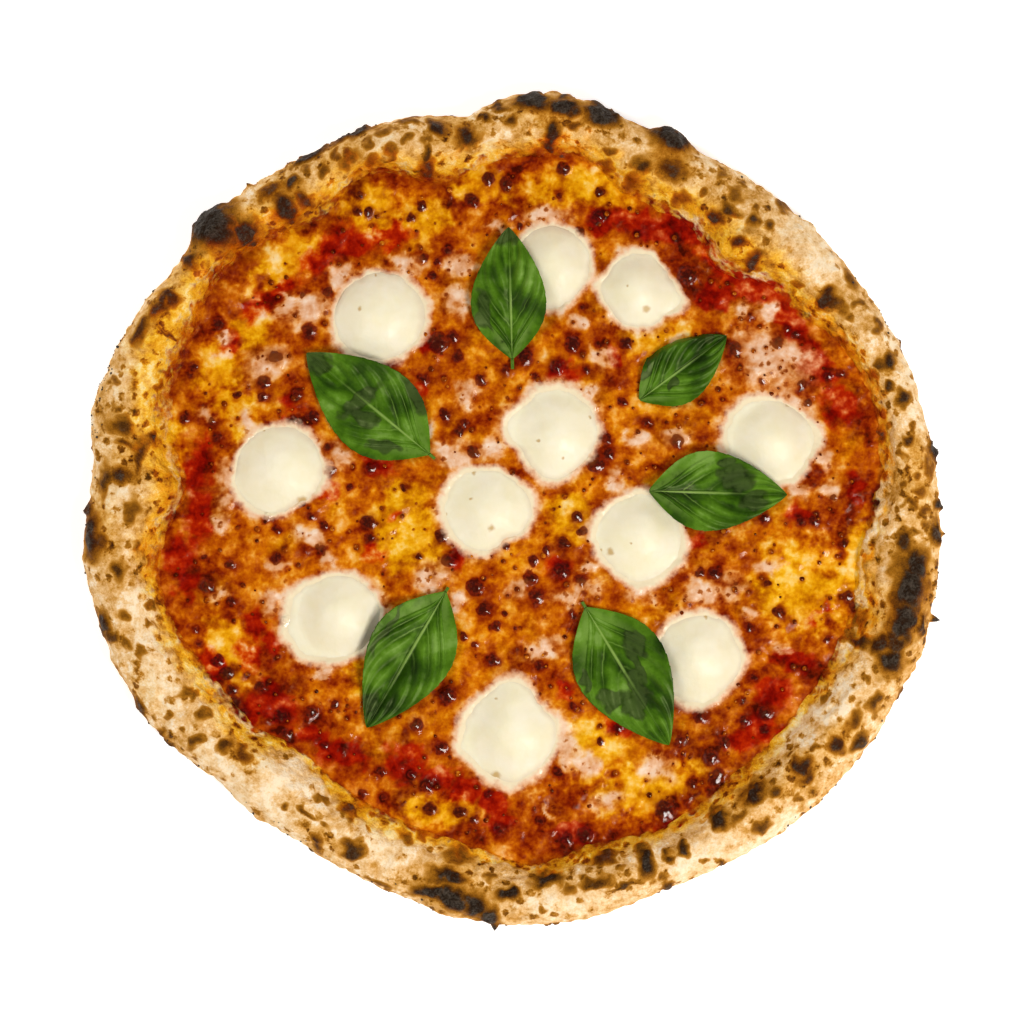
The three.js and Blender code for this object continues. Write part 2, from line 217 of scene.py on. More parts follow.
def softbox(name, azimuth, elevation, distance, size, power, colour, glare=True):
    """A square lamp that looks at the pizza from that side, unseen by the camera.

    Without glare it gives light, but glossy surfaces don't mirror it.
    """
    lamp = bpy.data.lights.new(name, "AREA")
    lamp.shape = "SQUARE"
    lamp.size = size
    lamp.energy = power
    lamp.color = colour
    holder = bpy.data.objects.new(name, lamp)
    bpy.context.collection.objects.link(holder)
    turn = math.radians(azimuth)
    rise = math.radians(elevation)
    level = math.cos(rise)
    towards = Vector((level * math.cos(turn), level * math.sin(turn), math.sin(rise)))
    holder.location = distance * towards
    holder.rotation_euler = towards.to_track_quat("Z", "Y").to_euler()
    holder.visible_camera = False
    holder.visible_glossy = glare
    return holder


softbox("broad_lamp", -45, 48, distance=1.5, size=0.36, power=13.4, colour=SOFT_WHITE)
softbox("spark_lamp", -40, 62, distance=1.5, size=0.22, power=5.5, colour=WARM_WHITE)
softbox("fill_lamp", 140, 50, distance=1.8, size=0.9, power=14.5, colour=SOFT_WHITE, glare=False)

sky = bpy.data.worlds.new("studio_sky")
sky.use_nodes = True
sky_tree = Tree(sky.node_tree)
sky_direction = sky_tree.node("ShaderNodeTexCoord", output="Generated")
sky_height = sky_tree.node("ShaderNodeSeparateXYZ", {}, {0: sky_direction}).output("Z")
sky_glow = HORIZON_GLOW - (HORIZON_GLOW - OVERHEAD_GLOW) * sky_height.rise(*DIMS_BETWEEN)
sky_inputs = {"Color": (1, 1, 1, 1), "Strength": sky_glow}
sky_light = sky_tree.node("ShaderNodeBackground", {}, sky_inputs)
sky_tree.node("ShaderNodeOutputWorld", {}, {"Surface": sky_light})
bpy.context.scene.world = sky
print("three lamps and a sky")

# %% [markdown]
# ## Numbers that make surfaces
#
# Dough and cheese are never smooth. Perlin's noise is the usual way to get soft lumps of a
# chosen size: a random slope at each corner of a lattice, blended in between. Worked out on
# whole arrays it takes a fraction of a second for a hundred thousand points.

# %% Noise, blur and soft steps
LATTICE_MIX = np.array([[127.1, 269.5, 113.5], [311.7, 183.3, 271.9], [74.7, 246.1, 124.6]])
LATTICE_SPREAD = 43758.5453
SEED_SHIFT = 19.7
NOISE_GAIN = 1.5
BLUR_REACH = 2.5


def lattice_slopes(corners):
    """A repeatable random slope for each corner of the lattice."""
    return 2 * np.modf(np.abs(np.sin(corners @ LATTICE_MIX) * LATTICE_SPREAD))[0] - 1


def lumps(places, size, seed=0):
    """Smooth noise, about -1 to 1, with lumps of that size, at each row of places."""
    scaled = places / size + SEED_SHIFT * seed
    corner = np.floor(scaled)
    inside = scaled - corner
    ease = inside**3 * (inside * (6 * inside - 15) + 10)
    total = np.zeros(len(places))
    for step in product((0, 1), repeat=3):
        slopes = lattice_slopes(corner + step)
        share = np.where(step, ease, 1 - ease).prod(axis=1)
        total += share * (slopes * (inside - step)).sum(axis=1)
    return NOISE_GAIN * total


def lumps_flat(x, y, size, seed=0):
    """The same noise for places on a plan."""
    places = np.stack([x, y, np.zeros_like(x)], axis=-1).reshape(-1, 3)
    return lumps(places, size, seed).reshape(x.shape)


def soft_step(value, low, high):
    """0 below low, 1 above high, and smooth in between."""
    share = np.clip((value - low) / (high - low), 0, 1)
    return share * share * (3 - 2 * share)


def blur(grid, spreads, wraps=(False, False)):
    """A grid evened out along both axes, by a spread in cells, round the ends where it wraps."""
    for axis, (spread, wrap) in enumerate(zip(spreads, wraps)):
        reach = math.ceil(BLUR_REACH * spread)
        weights = np.exp(-0.5 * (np.arange(-reach, reach + 1) / spread) ** 2)
        pads = [(reach, reach) if axis == i else (0, 0) for i in range(2)]
        padded = np.pad(grid, pads, mode="wrap" if wrap else "edge")
        length = grid.shape[axis]
        shifted = (np.take(padded, range(i, i + length), axis) for i in range(len(weights)))
        grid = sum(weight * part for weight, part in zip(weights, shifted)) / weights.sum()
    return grid


def blur_ring(values, spread):
    """Values round a closed ring, evened out."""
    return blur(values[None], (0.01, spread), (False, True))[0]


# %% [markdown]
# Blisters, stains and patches lie where they lie, so each is written down as a place and a size.
# A field then holds 1 in the middle of a patch, 0 at its edge and less outside. The places are
# first pushed about by noise, which makes every edge ragged.

# %% Patches on a plan
FIELD_FLOOR = -1.0
SHALLOW_REACH = 0.82
DEPTH_REACH = 0.33
BURN_STEEPNESS = 1.6


def pushed(x, y, size, reach, seed):
    """Places pushed about by noise."""
    return x + reach * lumps_flat(x, y, size, seed), y + reach * lumps_flat(x, y, size, seed + 1)


def patches(x, y, listed):
    """The field of patches given as (x, y, half length, half width, tilt in degrees)."""
    field = np.full(x.shape, FIELD_FLOOR)
    for at_x, at_y, half_length, *rest in listed:
        half_width = rest[0] if rest else half_length
        tilt = math.radians(rest[1]) if len(rest) > 1 else 0
        along = (x - at_x) * math.cos(tilt) + (y - at_y) * math.sin(tilt)
        across = (y - at_y) * math.cos(tilt) - (x - at_x) * math.sin(tilt)
        field = np.maximum(field, 1 - np.hypot(along / half_length, across / half_width))
    return field


def rim_patches(angle, radius, listed):
    """The field of patches given as (angle, radius, half length, half width, depth).

    The half length runs along the rim. A deep patch also reaches a little further.
    """
    field = np.full(angle.shape, FIELD_FLOOR)
    for at_angle, at_radius, half_length, half_width, *depth in listed:
        turn = np.radians((angle - at_angle + 180) % 360 - 180)
        deep = depth[0] if depth else 1
        out = np.hypot(turn * at_radius / half_length, (radius - at_radius) / half_width)
        near = SHALLOW_REACH + DEPTH_REACH * deep - out
        inside = deep * np.minimum(BURN_STEEPNESS * near, 1)
        field = np.maximum(field, np.where(near > 0, inside, near))
    return field


def around(angle, listed, column=1):
    """A value that changes round the rim, smooth between listed (angle, value, ...) rows."""
    turns = [row[0] for row in listed]
    values = [row[column] for row in listed]
    share = np.interp(np.arange(0, 360, 1.0), turns, values, period=360)
    share = blur_ring(share, 4)
    return np.interp(angle % 360, np.arange(0, 361, 1.0), np.append(share, share[0]))


# %% [markdown]
# ## Feeling the frame
#
# A ray cast from above gives the height of a solid at any place. The solids are faceted, so the
# heights are taken on a grid and evened out before the fine skin uses them.

# %% Rays and heights
SKY = 100


def points_of(node):
    """A node's points in millimetres."""
    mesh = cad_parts[node].data
    return np.array([vertex.co for vertex in mesh.vertices]) / MM


def tree_of(node):
    """A search tree over a node's triangles, in millimetres."""
    faces = [face.vertices[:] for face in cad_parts[node].data.polygons]
    return BVHTree.FromPolygons(points_of(node).tolist(), faces)


class Heights:
    """The height of a solid's top over any place, felt on a grid and evened out."""

    def __init__(self, tree, half, step, spread):
        self.half = half
        self.step = step
        ticks = np.arange(-half, half + step, step)
        felt = np.full((len(ticks), len(ticks)), np.nan)
        for i, x in enumerate(ticks):
            for j, y in enumerate(ticks):
                hit = tree.ray_cast((x, y, SKY), (0, 0, -1))[0]
                if hit:
                    felt[i, j] = hit.z
        known = np.isfinite(felt)
        spreads = (spread / step,) * 2
        total = blur(np.where(known, felt, 0), spreads)
        self.grid = total / np.maximum(blur(known.astype(float), spreads), 1e-9)

    def at(self, x, y):
        column = np.clip((x + self.half) / self.step, 0, self.grid.shape[0] - 1.001)
        row = np.clip((y + self.half) / self.step, 0, self.grid.shape[1] - 1.001)
        i, j = column.astype(int), row.astype(int)
        u, v = column - i, row - j
        left = self.grid[i, j] * (1 - v) + self.grid[i, j + 1] * v
        right = self.grid[i + 1, j] * (1 - v) + self.grid[i + 1, j + 1] * v
        return left * (1 - u) + right * u


def outline_of(node, sectors=144, spread=1.6):
    """A node's outline seen from above, as a function of the angle in degrees."""
    points = points_of(node)
    angle = np.degrees(np.arctan2(points[:, 1], points[:, 0])) % 360
    radius = np.hypot(points[:, 0], points[:, 1])
    sector = (angle * sectors / 360).astype(int)
    order = np.lexsort((radius, sector))
    last = order[np.searchsorted(sector[order], np.arange(sectors), side="right") - 1]
    turns = np.arange(0, 360, 0.5)
    even = np.interp(turns, angle[last], radius[last], period=360)
    even = blur_ring(even, 2 * spread)
    return lambda at: np.interp(at % 360, np.append(turns, 360), np.append(even, even[0]))


sauce_edge = outline_of("sauce_and_cheese")
outside = outline_of("crust")
sauce_level = Heights(tree_of("sauce_and_cheese"), half=148, step=2, spread=4)

print("at the right the sauce reaches", round(float(sauce_edge(0))), "mm")
print("and the crust", round(float(outside(0))), "mm")

# %% [markdown]
# ## Meshes from grids
#
# Every fine skin here is a grid: rings and columns round the rim, or a square grid pressed into
# a disc, which has no crowded middle. Values such as how charred a point is are kept on the
# points, and the materials read them.

# %% Grids and meshes
def ring_quads(rows, columns):
    """Quads between neighbouring rows of a grid whose columns close into a ring."""
    row, column = np.meshgrid(np.arange(rows - 1), np.arange(columns), indexing="ij")
    beside = (column + 1) % columns
    corners = [row * columns + column, row * columns + beside, (row + 1) * columns + beside]
    corners.append((row + 1) * columns + column)
    return np.stack(corners, axis=-1).reshape(-1, 4)


def disc_grid(cells):
    """A square grid pressed into a disc: each point's share of the way out, and its angle."""
    ticks = np.linspace(-1, 1, cells + 1)
    across, up = np.meshgrid(ticks, ticks, indexing="ij")
    share = np.maximum(abs(across), abs(up))
    with np.errstate(divide="ignore", invalid="ignore"):
        sideways = np.where(across > 0, 0, 180) + 45 * up / across
        upright = np.where(up > 0, 90, 270) - 45 * across / up
    angle = np.where(abs(across) >= abs(up), sideways, upright)
    return share, np.where(share > 0, angle, 0) % 360


def disc_quads(cells):
    """Quads of a pressed square grid, facing up."""
    i, j = np.meshgrid(np.arange(cells), np.arange(cells), indexing="ij")
    size = cells + 1
    corners = [i * size + j, (i + 1) * size + j, (i + 1) * size + j + 1, i * size + j + 1]
    return np.stack(corners, axis=-1).reshape(-1, 4)


def disc_rim(cells):
    """The numbers of the points on the edge of a pressed grid, anticlockwise."""
    size = cells + 1
    steps = np.arange(cells)
    bottom = steps * size
    right = cells * size + steps
    top = (cells - steps) * size + cells
    left = cells - steps
    return np.concatenate([right, top, left, bottom])


def piece(name, points, faces, material, fields=None):
    """A smooth mesh from points in millimetres, with a value on each point for each field."""
    mesh = bpy.data.meshes.new(name)
    mesh.from_pydata((points * MM).tolist(), [], faces)
    mesh.polygons.foreach_set("use_smooth", np.ones(len(mesh.polygons), bool))
    for field, values in (fields or {}).items():
        attribute = mesh.attributes.new(field, "FLOAT", "POINT")
        attribute.data.foreach_set("value", np.asarray(values, np.float32).ravel())
    mesh.materials.append(material)
    mesh.update()
    made = bpy.data.objects.new(name, mesh)
    bpy.context.collection.objects.link(made)
    print(f"{name}: {len(mesh.vertices)} points, {sum(len(face) - 2 for face in faces)} triangles")
    return made


def closed_disc(top, cells, floor, middle):
    """Points and faces of a pressed grid that is closed by a ring and a fan below it."""
    rim = disc_rim(cells)
    ring = np.array(top[rim])
    ring[:, 2] = floor
    points = np.concatenate([top, ring, [middle]])
    under = len(top) + np.arange(len(rim))
    beside = np.roll(under, -1)
    wall = np.stack([under, beside, np.roll(rim, -1), rim], axis=-1)
    fan = np.stack([np.full(len(rim), len(points) - 1), beside, under], axis=-1)
    return points, disc_quads(cells).tolist() + wall.tolist() + fan.tolist()


# %% [markdown]
# Colours are given as a screen shows them, from 0 to 1, and turned into the linear values that
# the renderer counts in.

# %% Words for finishes
LIGHT_ON_TOP = 1.1


def linear(part):
    """The standard step from a screen's value to linear light."""
    return ((part + 0.055) / 1.055) ** 2.4 if part > 0.04045 else part / 12.92


def colour(red, green, blue):
    """A colour as seen on the lit pizza, as linear light."""
    return (*(linear(part) / LIGHT_ON_TOP for part in (red, green, blue)), 1)


class Finish(Tree):
    """A material's node tree, with the few words that the finishes of food are made of."""

    def __init__(self, name):
        self.material = bpy.data.materials.new(name)
        self.material.use_nodes = True
        super().__init__(self.material.node_tree)
        self.places = self.node("ShaderNodeTexCoord", output="Object")

    def kept(self, name):
        """The value that a mesh keeps on its points."""
        return self.node("ShaderNodeAttribute", {"attribute_name": name}, output="Fac")

    def shifted(self, seed):
        shift = (0.37 * seed, 0.61 * seed, 0.13 * seed)
        return self.node("ShaderNodeVectorMath", {"operation": "ADD"}, {0: self.places, 1: shift})

    def cloud(self, size, detail=3, roughness=0.55, distortion=0, seed=0):
        """Cloudy noise about 0, from -1 to 1, with lumps of that size in millimetres."""
        inputs = {"Vector": self.shifted(seed), "Scale": 1 / (size * MM), "Detail": detail}
        inputs |= {"Roughness": roughness, "Distortion": distortion}
        return 2 * self.node("ShaderNodeTexNoise", {"noise_dimensions": "3D"}, inputs) - 1

    def cells(self, size, seed=0):
        """Distance from the middles of scattered cells, in cells, and a random number of each."""
        inputs = {"Vector": self.shifted(seed), "Scale": 1 / (size * MM)}
        found = self.node("ShaderNodeTexVoronoi", {}, inputs)
        return found, self.node("ShaderNodeSeparateColor", {}, {0: found.output("Color")})

    def ramp(self, value, rows):
        """The colour at a value, between rows of a position and a colour."""
        stops = [(position, colour(*parts)) for position, *parts in rows]
        return self.node("ShaderNodeValToRGB", {"stops": stops}, {0: value})

    def mix(self, share, first, second):
        settings = {"data_type": "RGBA"}
        return self.node("ShaderNodeMix", settings, {0: share, 6: first, 7: second}, output=2)

    def bump(self, height, depth):
        """A normal from a height that runs from about 0 to 1 and is that many millimetres deep."""
        return self.node("ShaderNodeBump", {}, {"Height": height, "Distance": depth * MM})

    def done(self, **inputs):
        """The finished material from the inputs of its shader."""
        named = {name.replace("_", " "): value for name, value in inputs.items()}
        shader = self.node("ShaderNodeBsdfPrincipled", {}, named)
        self.node("ShaderNodeOutputMaterial", {}, {"Surface": shader})
        return self.material


# %% [markdown]
# ## The floor
#
# A plain white floor that only catches a faint shadow. It glows a little itself, as a floor of
# lit white paper does.

# %% Floor
FLOOR_HALF = 6.0

floor_finish = Finish("white_floor")
floor_white = floor_finish.done(
    Base_Color=(0.93, 0.93, 0.93, 1),
    Roughness=0.9,
    Specular_IOR_Level=0.1,
    Emission_Color=(1, 0.98, 0.98, 1),
    Emission_Strength=0.5,
)
floor_mesh = bpy.data.meshes.new("floor")
corner_signs = ((-1, -1), (1, -1), (1, 1), (-1, 1))
floor_corners = [(x * FLOOR_HALF, y * FLOOR_HALF, 0) for x, y in corner_signs]
floor_mesh.from_pydata(floor_corners, [], [(0, 1, 2, 3)])
floor_mesh.materials.append(floor_white)
floor = bpy.data.objects.new("floor", floor_mesh)
bpy.context.collection.objects.link(floor)
floor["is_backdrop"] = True

# %% [markdown]
# ## Mozzarella: where it lies
#
# A slice of fresh mozzarella softens in the oven and sinks into a low dome, and a thin rim of
# it runs out over the sauce. The sauce's colour depends on where the cheese has run, so the
# outlines come first. Each piece has the middle it is measured from, the shift, half width, half
# depth and roundness of its dome, the reach of its melted edge at each 30 degrees, and small lobes
# and notches given as an angle, an extra reach and a half width in degrees.

# %% Outlines of the mozzarella
MOZZARELLA = [
    (
        (-50, 73), (0.2, 0, 15.6, 15.4, 0.62),
        (17.5, 17, 17, 16, 15.8, 16, 16.5, 18, 17.5, 17, 16.5, 17.5),
        [],
    ),
    (
        (15, 91), (-0.5, 0, 13.8, 14.5, 0.7),
        (14, 15.4, 15, 15.2, 16, 15, 14, 14, 14, 16, 14, 13.7),
        [],
    ),
    (
        (48, 83), (-1, -1, 12.4, 13, 0.9),
        (13, 11, 12.7, 14.7, 14, 13.9, 16.2, 14.2, 14.2, 14.7, 13.9, 16.7),
        [(346, 2.5, 9), (315, -2.5, 8), (172, 1, 6)],
    ),
    (
        (16, 29), (1, -1, 14, 15.3, 0.85),
        (16.2, 16, 17.2, 17.7, 17.7, 17.7, 19.7, 14.2, 16.2, 18.7, 14.6, 15.2),
        [(135, -2.4, 8), (195, -0.8, 7), (164, 0.8, 6)],
    ),
    (
        (96, 27), (1.5, -0.5, 13.4, 13.6, 0.8),
        (19.2, 15.6, 14, 15.5, 17, 17.2, 17.2, 16.5, 16, 16.5, 18.2, 16.7),
        [],
    ),
    (
        (-88, 15), (0.8, 0.4, 15, 15.2, 0.65),
        (17.5, 17.2, 18, 17, 16, 16, 16.2, 17.2, 17.2, 16.5, 13.4, 17),
        [(200, 1.2, 9)],
    ),
    (
        (-9, 0), (0.5, 0, 14.4, 14.2, 0.95),
        (17.2, 15.9, 15.4, 16.2, 17.9, 17.9, 18, 16.4, 16.9, 15.9, 11.8, 15.4),
        [(165, -1.8, 6), (180, 0.6, 5)],
    ),
    (
        (47, -9), (0.8, -0.8, 13.7, 14.2, 0.8),
        (16.5, 15.9, 16.2, 16.5, 15.2, 15.9, 17.9, 16.2, 16.5, 19.5, 18, 18.7),
        [],
    ),
    (
        (-66, -39), (1.5, 0, 14, 14, 0.75),
        (17.7, 16.5, 15.9, 15.9, 15, 18.7, 19, 19.7, 18.5, 16.9, 16.2, 16.7),
        [(199, 2.5, 6), (226, 2.5, 6)],
    ),
    (
        (69, -55), (0.3, 0, 14.9, 15.2, 0.9),
        (17.7, 16.5, 17.4, 16.5, 15.9, 16.7, 16.2, 16.2, 17.2, 18.9, 16.5, 15.7),
        [],
    ),
    (
        (-1, -82), (1.3, -0.8, 14.8, 16.8, 0.85),
        (18.7, 14.7, 16, 19.9, 16.2, 16.9, 19.2, 19.2, 18.8, 21.2, 17.9, 17.9),
        [(200, 3, 5), (47, -1, 8), (75, 1.2, 7)],
    ),
]
OUTLINE_ANGLES = np.arange(0, 360, 30)


class Mozzarella:
    """One melted piece: its dome and the reach of its edge."""

    def __init__(self, middle, dome, reaches, lobes):
        self.x, self.y = middle
        self.shift_x, self.shift_y, self.half_width, self.half_depth, self.roundness = dome
        turns = np.arange(0, 360, 2.0)
        even = np.interp(turns, OUTLINE_ANGLES, reaches, period=360)
        for angle, extra, half_width in lobes:
            even += extra * np.exp(-((((turns - angle + 180) % 360 - 180) / half_width) ** 2))
        even = blur_ring(even, 3)
        edge_x = self.x + even * np.cos(np.radians(turns))
        edge_y = self.y + even * np.sin(np.radians(turns))
        even += 0.9 * lumps_flat(edge_x, edge_y, 4.5, 7) + 0.4 * lumps_flat(edge_x, edge_y, 1.9, 8)
        self.turns = np.append(turns, 360)
        self.even = np.append(even, even[0])

    def reach(self, angle):
        return np.interp(angle % 360, self.turns, self.even)

    def share(self, x, y):
        """How far out a place is, with 1 at the melted edge."""
        angle = np.degrees(np.arctan2(y - self.y, x - self.x))
        return np.hypot(x - self.x, y - self.y) / self.reach(angle)

    def out_of_dome(self, x, y):
        """How far out of the dome a place is, with 1 at its foot."""
        across = (x - self.x - self.shift_x) / self.half_width
        return np.hypot(across, (y - self.y - self.shift_y) / self.half_depth)


mozzarella_pieces = [Mozzarella(*row) for row in MOZZARELLA]
print("mozzarella pieces:", len(mozzarella_pieces))

# %% [markdown]
# ## Sauce and melted cheese
#
# Tomato and cheese bake into one layer. Fat and tomato make most of it orange, thin sauce shows
# red between, the last of the soft cheese stands as milky islands, and each bubble that burst
# against the hot air left a dark brown blister.
#
# The finest of this could be painted in the material alone. But blisters and islands catch the
# light, so the skin is a grid of 0.9 mm cells that really rises there, and only what is finer
# than a cell is left to the material.

# %% Milky islands, tomato and blisters
MILKY_PATCHES = [
    (-75, 75, 10, 5, 25), (-63, 88, 6, 4, 30), (-85, 75, 6, 3.5, 20), (-92, 55, 9, 6, 20),
    (-40, 93, 8, 3.5), (-22, 78, 5, 6), (-20, 92, 6, 3.5), (-106, 12, 5, 7), (-106, 3, 5, 4),
    (-110, -4, 3, 3), (-75, -10, 7, 3, -35), (-68, -18, 3, 3), (-64, 22, 4, 5), (-17, 44, 4, 6),
    (-22, 20, 8, 5.5, -20), (-30, -25, 8, 5, 20), (-20, -34, 4, 4), (12, 110, 10, 3.5),
    (-6, 106, 5, 2.5), (34, 58, 4.5, 4.5), (24, 70, 3, 3), (25, -31, 9, 3.5, 15), (28, -20, 3, 3),
    (48, -30, 6, 3.5), (60, -19, 4, 2.5), (72, -30, 10, 4, -5), (82, -28, 5, 4.5),
    (95, -20, 6, 2.5), (88, -38, 3, 2.5), (96, 56, 17, 10, -15), (104, 41, 10, 6, -35),
    (87, 75, 4, 2.5, 50), (95, 74, 4.5, 3, 30), (107, 8, 5, 3), (116, 20, 3.5, 5), (118, 8, 4, 3),
    (61, 28, 5, 3.5), (47, 27, 4, 3), (10, -52, 8, 3.5), (20, -88, 4, 9, 10), (27, -94, 4.5, 4),
    (12, -111, 4, 1.6, -40), (-70, -60, 6, 1.6), (-115, 36, 3.5, 2.5), (-108, 65, 4, 2),
    (-109, -31, 3, 3), (54, -95, 6, 5), (-8, 22, 6, 3, 30), (-100, 35, 3, 4), (-88, -20, 4, 3),
    (-34, 30, 4, 3), (60, 62, 3, 4), (30, 44, 3, 3), (38, 12, 3, 4), (80, 6, 3, 3),
    (-44, -50, 4, 3), (-90, -34, 4, 4), (2, -30, 4, 3), (36, -108, 6, 3, 20), (-48, 22, 4, 3),
    (100, -52, 4, 2.5),
]
TOMATO_PATCHES = [
    (48, 107, 10, 5, -15), (62, 105, 10, 5, -8), (75, 96, 8, 5, -60), (90, 84, 12, 5, -12),
    (104, 70, 9, 4, -60), (113, 56, 10, 5, -65), (122, 40, 8, 5, -60), (128, 9, 3, 5),
    (-46, 103, 9, 5, 15), (-60, 101, 10, 5, 10), (-74, 93, 9, 5, 35), (-86, 84, 8, 4, 40),
    (-96, 75, 9, 4, 50), (-106, 62, 8, 4, 55), (-70, 97, 8, 4, 30), (-117, 16, 4, 10, -5),
    (-117, -2, 4, 10), (-124, -16, 5, 7), (-122, -26, 4, 6), (-95, -42, 6, 5), (-100, -54, 5, 6),
    (-90, -50, 3, 6), (-88, -72, 8, 7), (-97, -76, 5, 6), (-62, -90, 9, 5, -15), (-40, -94, 8, 6),
    (-28, -100, 6, 4), (-18, -104, 7, 6), (-4, -116, 4, 5), (-6, -110, 4, 6), (-52, -15, 5, 5),
    (-50, 18, 7, 6), (38, 57, 2.5, 5), (68, -11, 5, 3), (113, -41, 3, 2.5), (104, -56, 8, 3.5),
    (97, -68, 6, 6), (92, -80, 6, 5), (85, -86, 5, 4), (117, -36, 3, 4), (-44, -2, 5, 4),
    (-35, 45, 4, 3), (-30, 62, 4, 5), (20, 52, 7, 4), (-74, -84, 6, 4), (-112, -58, 4, 7),
    (40, -80, 6, 4), (60, -118, 7, 3, 20), (22, -120, 6, 3), (75, 80, 6, 4), (33, 108, 5, 5),
    (62, -8, 4, 4), (-20, -16, 3, 6), (16, -20, 6, 5), (20, -66, 5, 4), (-84, 40, 6, 4),
    (106, -2, 4, 4), (-70, 8, 4, 5),
]
GOLDEN_PATCHES = [
    (-51, 114, 13, 9), (-33, 109, 9, 9), (-10, 121, 13, 7), (25, 121, 22, 8, -5),
    (-83, 94, 16, 8, 42), (-111, 53, 8, 13), (-105, 40, 8, 6), (-40, -7, 14, 17), (23, -3, 12, 10),
    (111, -29, 20, 15, -20), (51, -104, 20, 10, 15), (29, -91, 10, 12), (-29, -112, 14, 6),
    (-106, -52, 8, 12, 10), (130, -24, 7, 22), (54, 62, 14, 10), (-55, 45, 9, 7), (-95, 28, 8, 8),
    (60, 8, 12, 8), (-52, -62, 12, 8), (92, 14, 8, 8), (80, 99, 9, 9), (-98, 68, 9, 6, 50),
    (0, 70, 9, 7), (-128, 20, 5, 14),
]
BLISTERS_TOP = [
    (-32, 127, 4), (-15.5, 116.5, 3), (-38, 110, 2), (-34, 114, 2), (-9, 124, 3),
    (-2.5, 122.5, 2.5), (19, 128, 3), (17.5, 118, 1.5), (32.5, 119, 1.8), (31.5, 110, 3),
    (43, 122.5, 3), (25, 104.5, 2), (2.5, 106.5, 1.5), (-24, 97, 2), (-33, 94.5, 2), (-28, 93, 2),
    (-30, 88, 1.8), (-28, 63, 4), (-22.5, 65, 2.5), (-20.5, 57.5, 2.5), (-33, 49, 2),
    (4.5, 58, 3.5), (-2.5, 52.5, 1.8), (-12, 49, 2), (8.5, 50.5, 1.5), (16.5, 54, 3),
    (22.5, 62.5, 3.2), (27.5, 53, 1.5), (32, 62, 1.5), (42.5, 62.5, 2.5), (41, 41, 2),
    (26, 76, 1.5), (65, 88, 4), (82.5, 60.5, 3), (99, 63, 2.5), (103, 68, 1.5), (105.5, 66, 1.5),
    (109.5, 73.5, 1.5), (118, 51, 1.8), (122, 51, 1.8), (108, 47.5, 1.8), (93, 48.5, 1.3),
]
BLISTERS_LEFT = [
    (-58, 112, 2), (-54, 111.5, 2), (-57, 118, 1.5), (-110, 70, 2), (-119, 54, 1.6),
    (-120.5, 50.5, 1.5), (-93, 48, 3), (-103, 43.5, 2), (-93.5, 43, 2.3), (-80.5, 44, 2),
    (-88.5, 58, 2.5), (-76, 67, 3), (-69, 82, 2), (-78.5, 81, 1.5), (-122.5, 34.5, 2.3),
    (-112.5, 33.5, 2), (-110.5, 27.5, 1.8), (-74.5, 35.5, 2.5), (-82, 34, 1.8), (-69, 24, 1.8),
    (-68.5, 15, 2.3), (-61, 9, 1.5), (-70.5, -5.5, 2), (-75.5, -2, 2), (-79, 3, 1.8),
    (-91.5, -2, 1.8), (-88, -7, 2), (-88.5, -18, 2.3), (-105.5, -20, 1.8), (-115, -17.5, 1.5),
    (-114.5, -28, 3), (-105, -34, 1.5), (-71, -14.5, 2), (-85, -41, 2), (-118.5, -44.5, 1.5),
    (-117, -49.5, 1.5), (-110, -56, 2.5), (-107, -60.5, 3), (-105, -67, 2), (-103.5, -71.5, 2.5),
    (-101, -75, 2.5), (-94, -65.5, 2.5), (-86, -77, 2.5), (-85, -83.5, 2.5), (-75, -75.5, 2.8),
    (-66.5, -72.5, 1.7), (-70, -88, 1.5), (-49, -97.5, 1.8), (-56, -106, 2), (-48, -107, 1.5),
    (-59, -111.5, 2.5),
]
BLISTERS_MIDDLE = [
    (-25.5, 36, 2.5), (-18, 33, 2), (-20, 29.5, 2), (-14.5, 22, 2.5), (-26.5, -9.5, 2.8),
    (-24, -18.5, 2.8), (-14, -28.5, 3.3), (-10.5, -37, 2.8), (-2.5, -13, 1.5), (30.5, 17.5, 4),
    (24, -2, 2.2), (26, -7.5, 2.2), (19, -12, 2.5), (12.5, -14.5, 2), (8, -18, 2.5),
    (6.5, -25.5, 2.8), (18, -22, 3.5), (26, -26, 2.3), (9, -32, 3.3), (35.5, 27, 2), (36, 21.5, 2),
    (-53, 16, 2.5), (-54, -4, 3.2), (-53.5, -10, 2), (-35, -17, 1.5), (-40.5, 8.5, 1.4),
    (-3, -38.5, 1.5), (1, -44, 1.5), (-6, -43, 2), (22, -38, 1.8), (-18.5, -47, 2),
    (-14, -50, 1.5), (-7, -56, 2.5), (-24.5, -69, 3.8), (-36, -80, 3), (-27, -88.5, 3),
    (-38, -98.5, 1.5), (-32, -103.5, 2), (-31, -111, 3), (-20, -112.5, 2.5), (-14.5, -115.5, 1.8),
    (-9, -106, 1.5), (-5, -119, 2.5), (20, -122.5, 3), (27, -121, 3.5), (10.5, -115.5, 1.5),
    (17, -97, 1.5), (22.5, -73, 2), (39.5, -81, 2), (33, -86, 1.5), (10, -57.5, 2),
]
BLISTERS_RIGHT = [
    (70, -77, 2.8), (62.5, -85.5, 2.5), (86, -71, 1.5), (86.5, -78.5, 2.2), (94, -75.5, 3),
    (94, -82, 1.8), (79, -86.5, 2.5), (74, -92.5, 3.5), (77, -98, 3), (67, -102, 1.7),
    (57, -111.5, 4.5), (90, -62, 1.8), (88, -43.5, 2), (117.5, -48, 1.8), (50, 33.5, 1.8),
    (61.5, 26, 3), (109, 14, 1.3), (108, -4, 2.2), (112.5, -4, 2), (95, -27, 1.7),
    (99, -37.5, 2.2), (70, -23, 2), (75.5, -23.5, 2.5), (94, -3, 2), (120, 5, 1.5),
    (124, -12, 1.5), (110.5, 40.5, 1.5), (125, -32, 2.5), (128, -36, 3), (76, -101, 3),
]
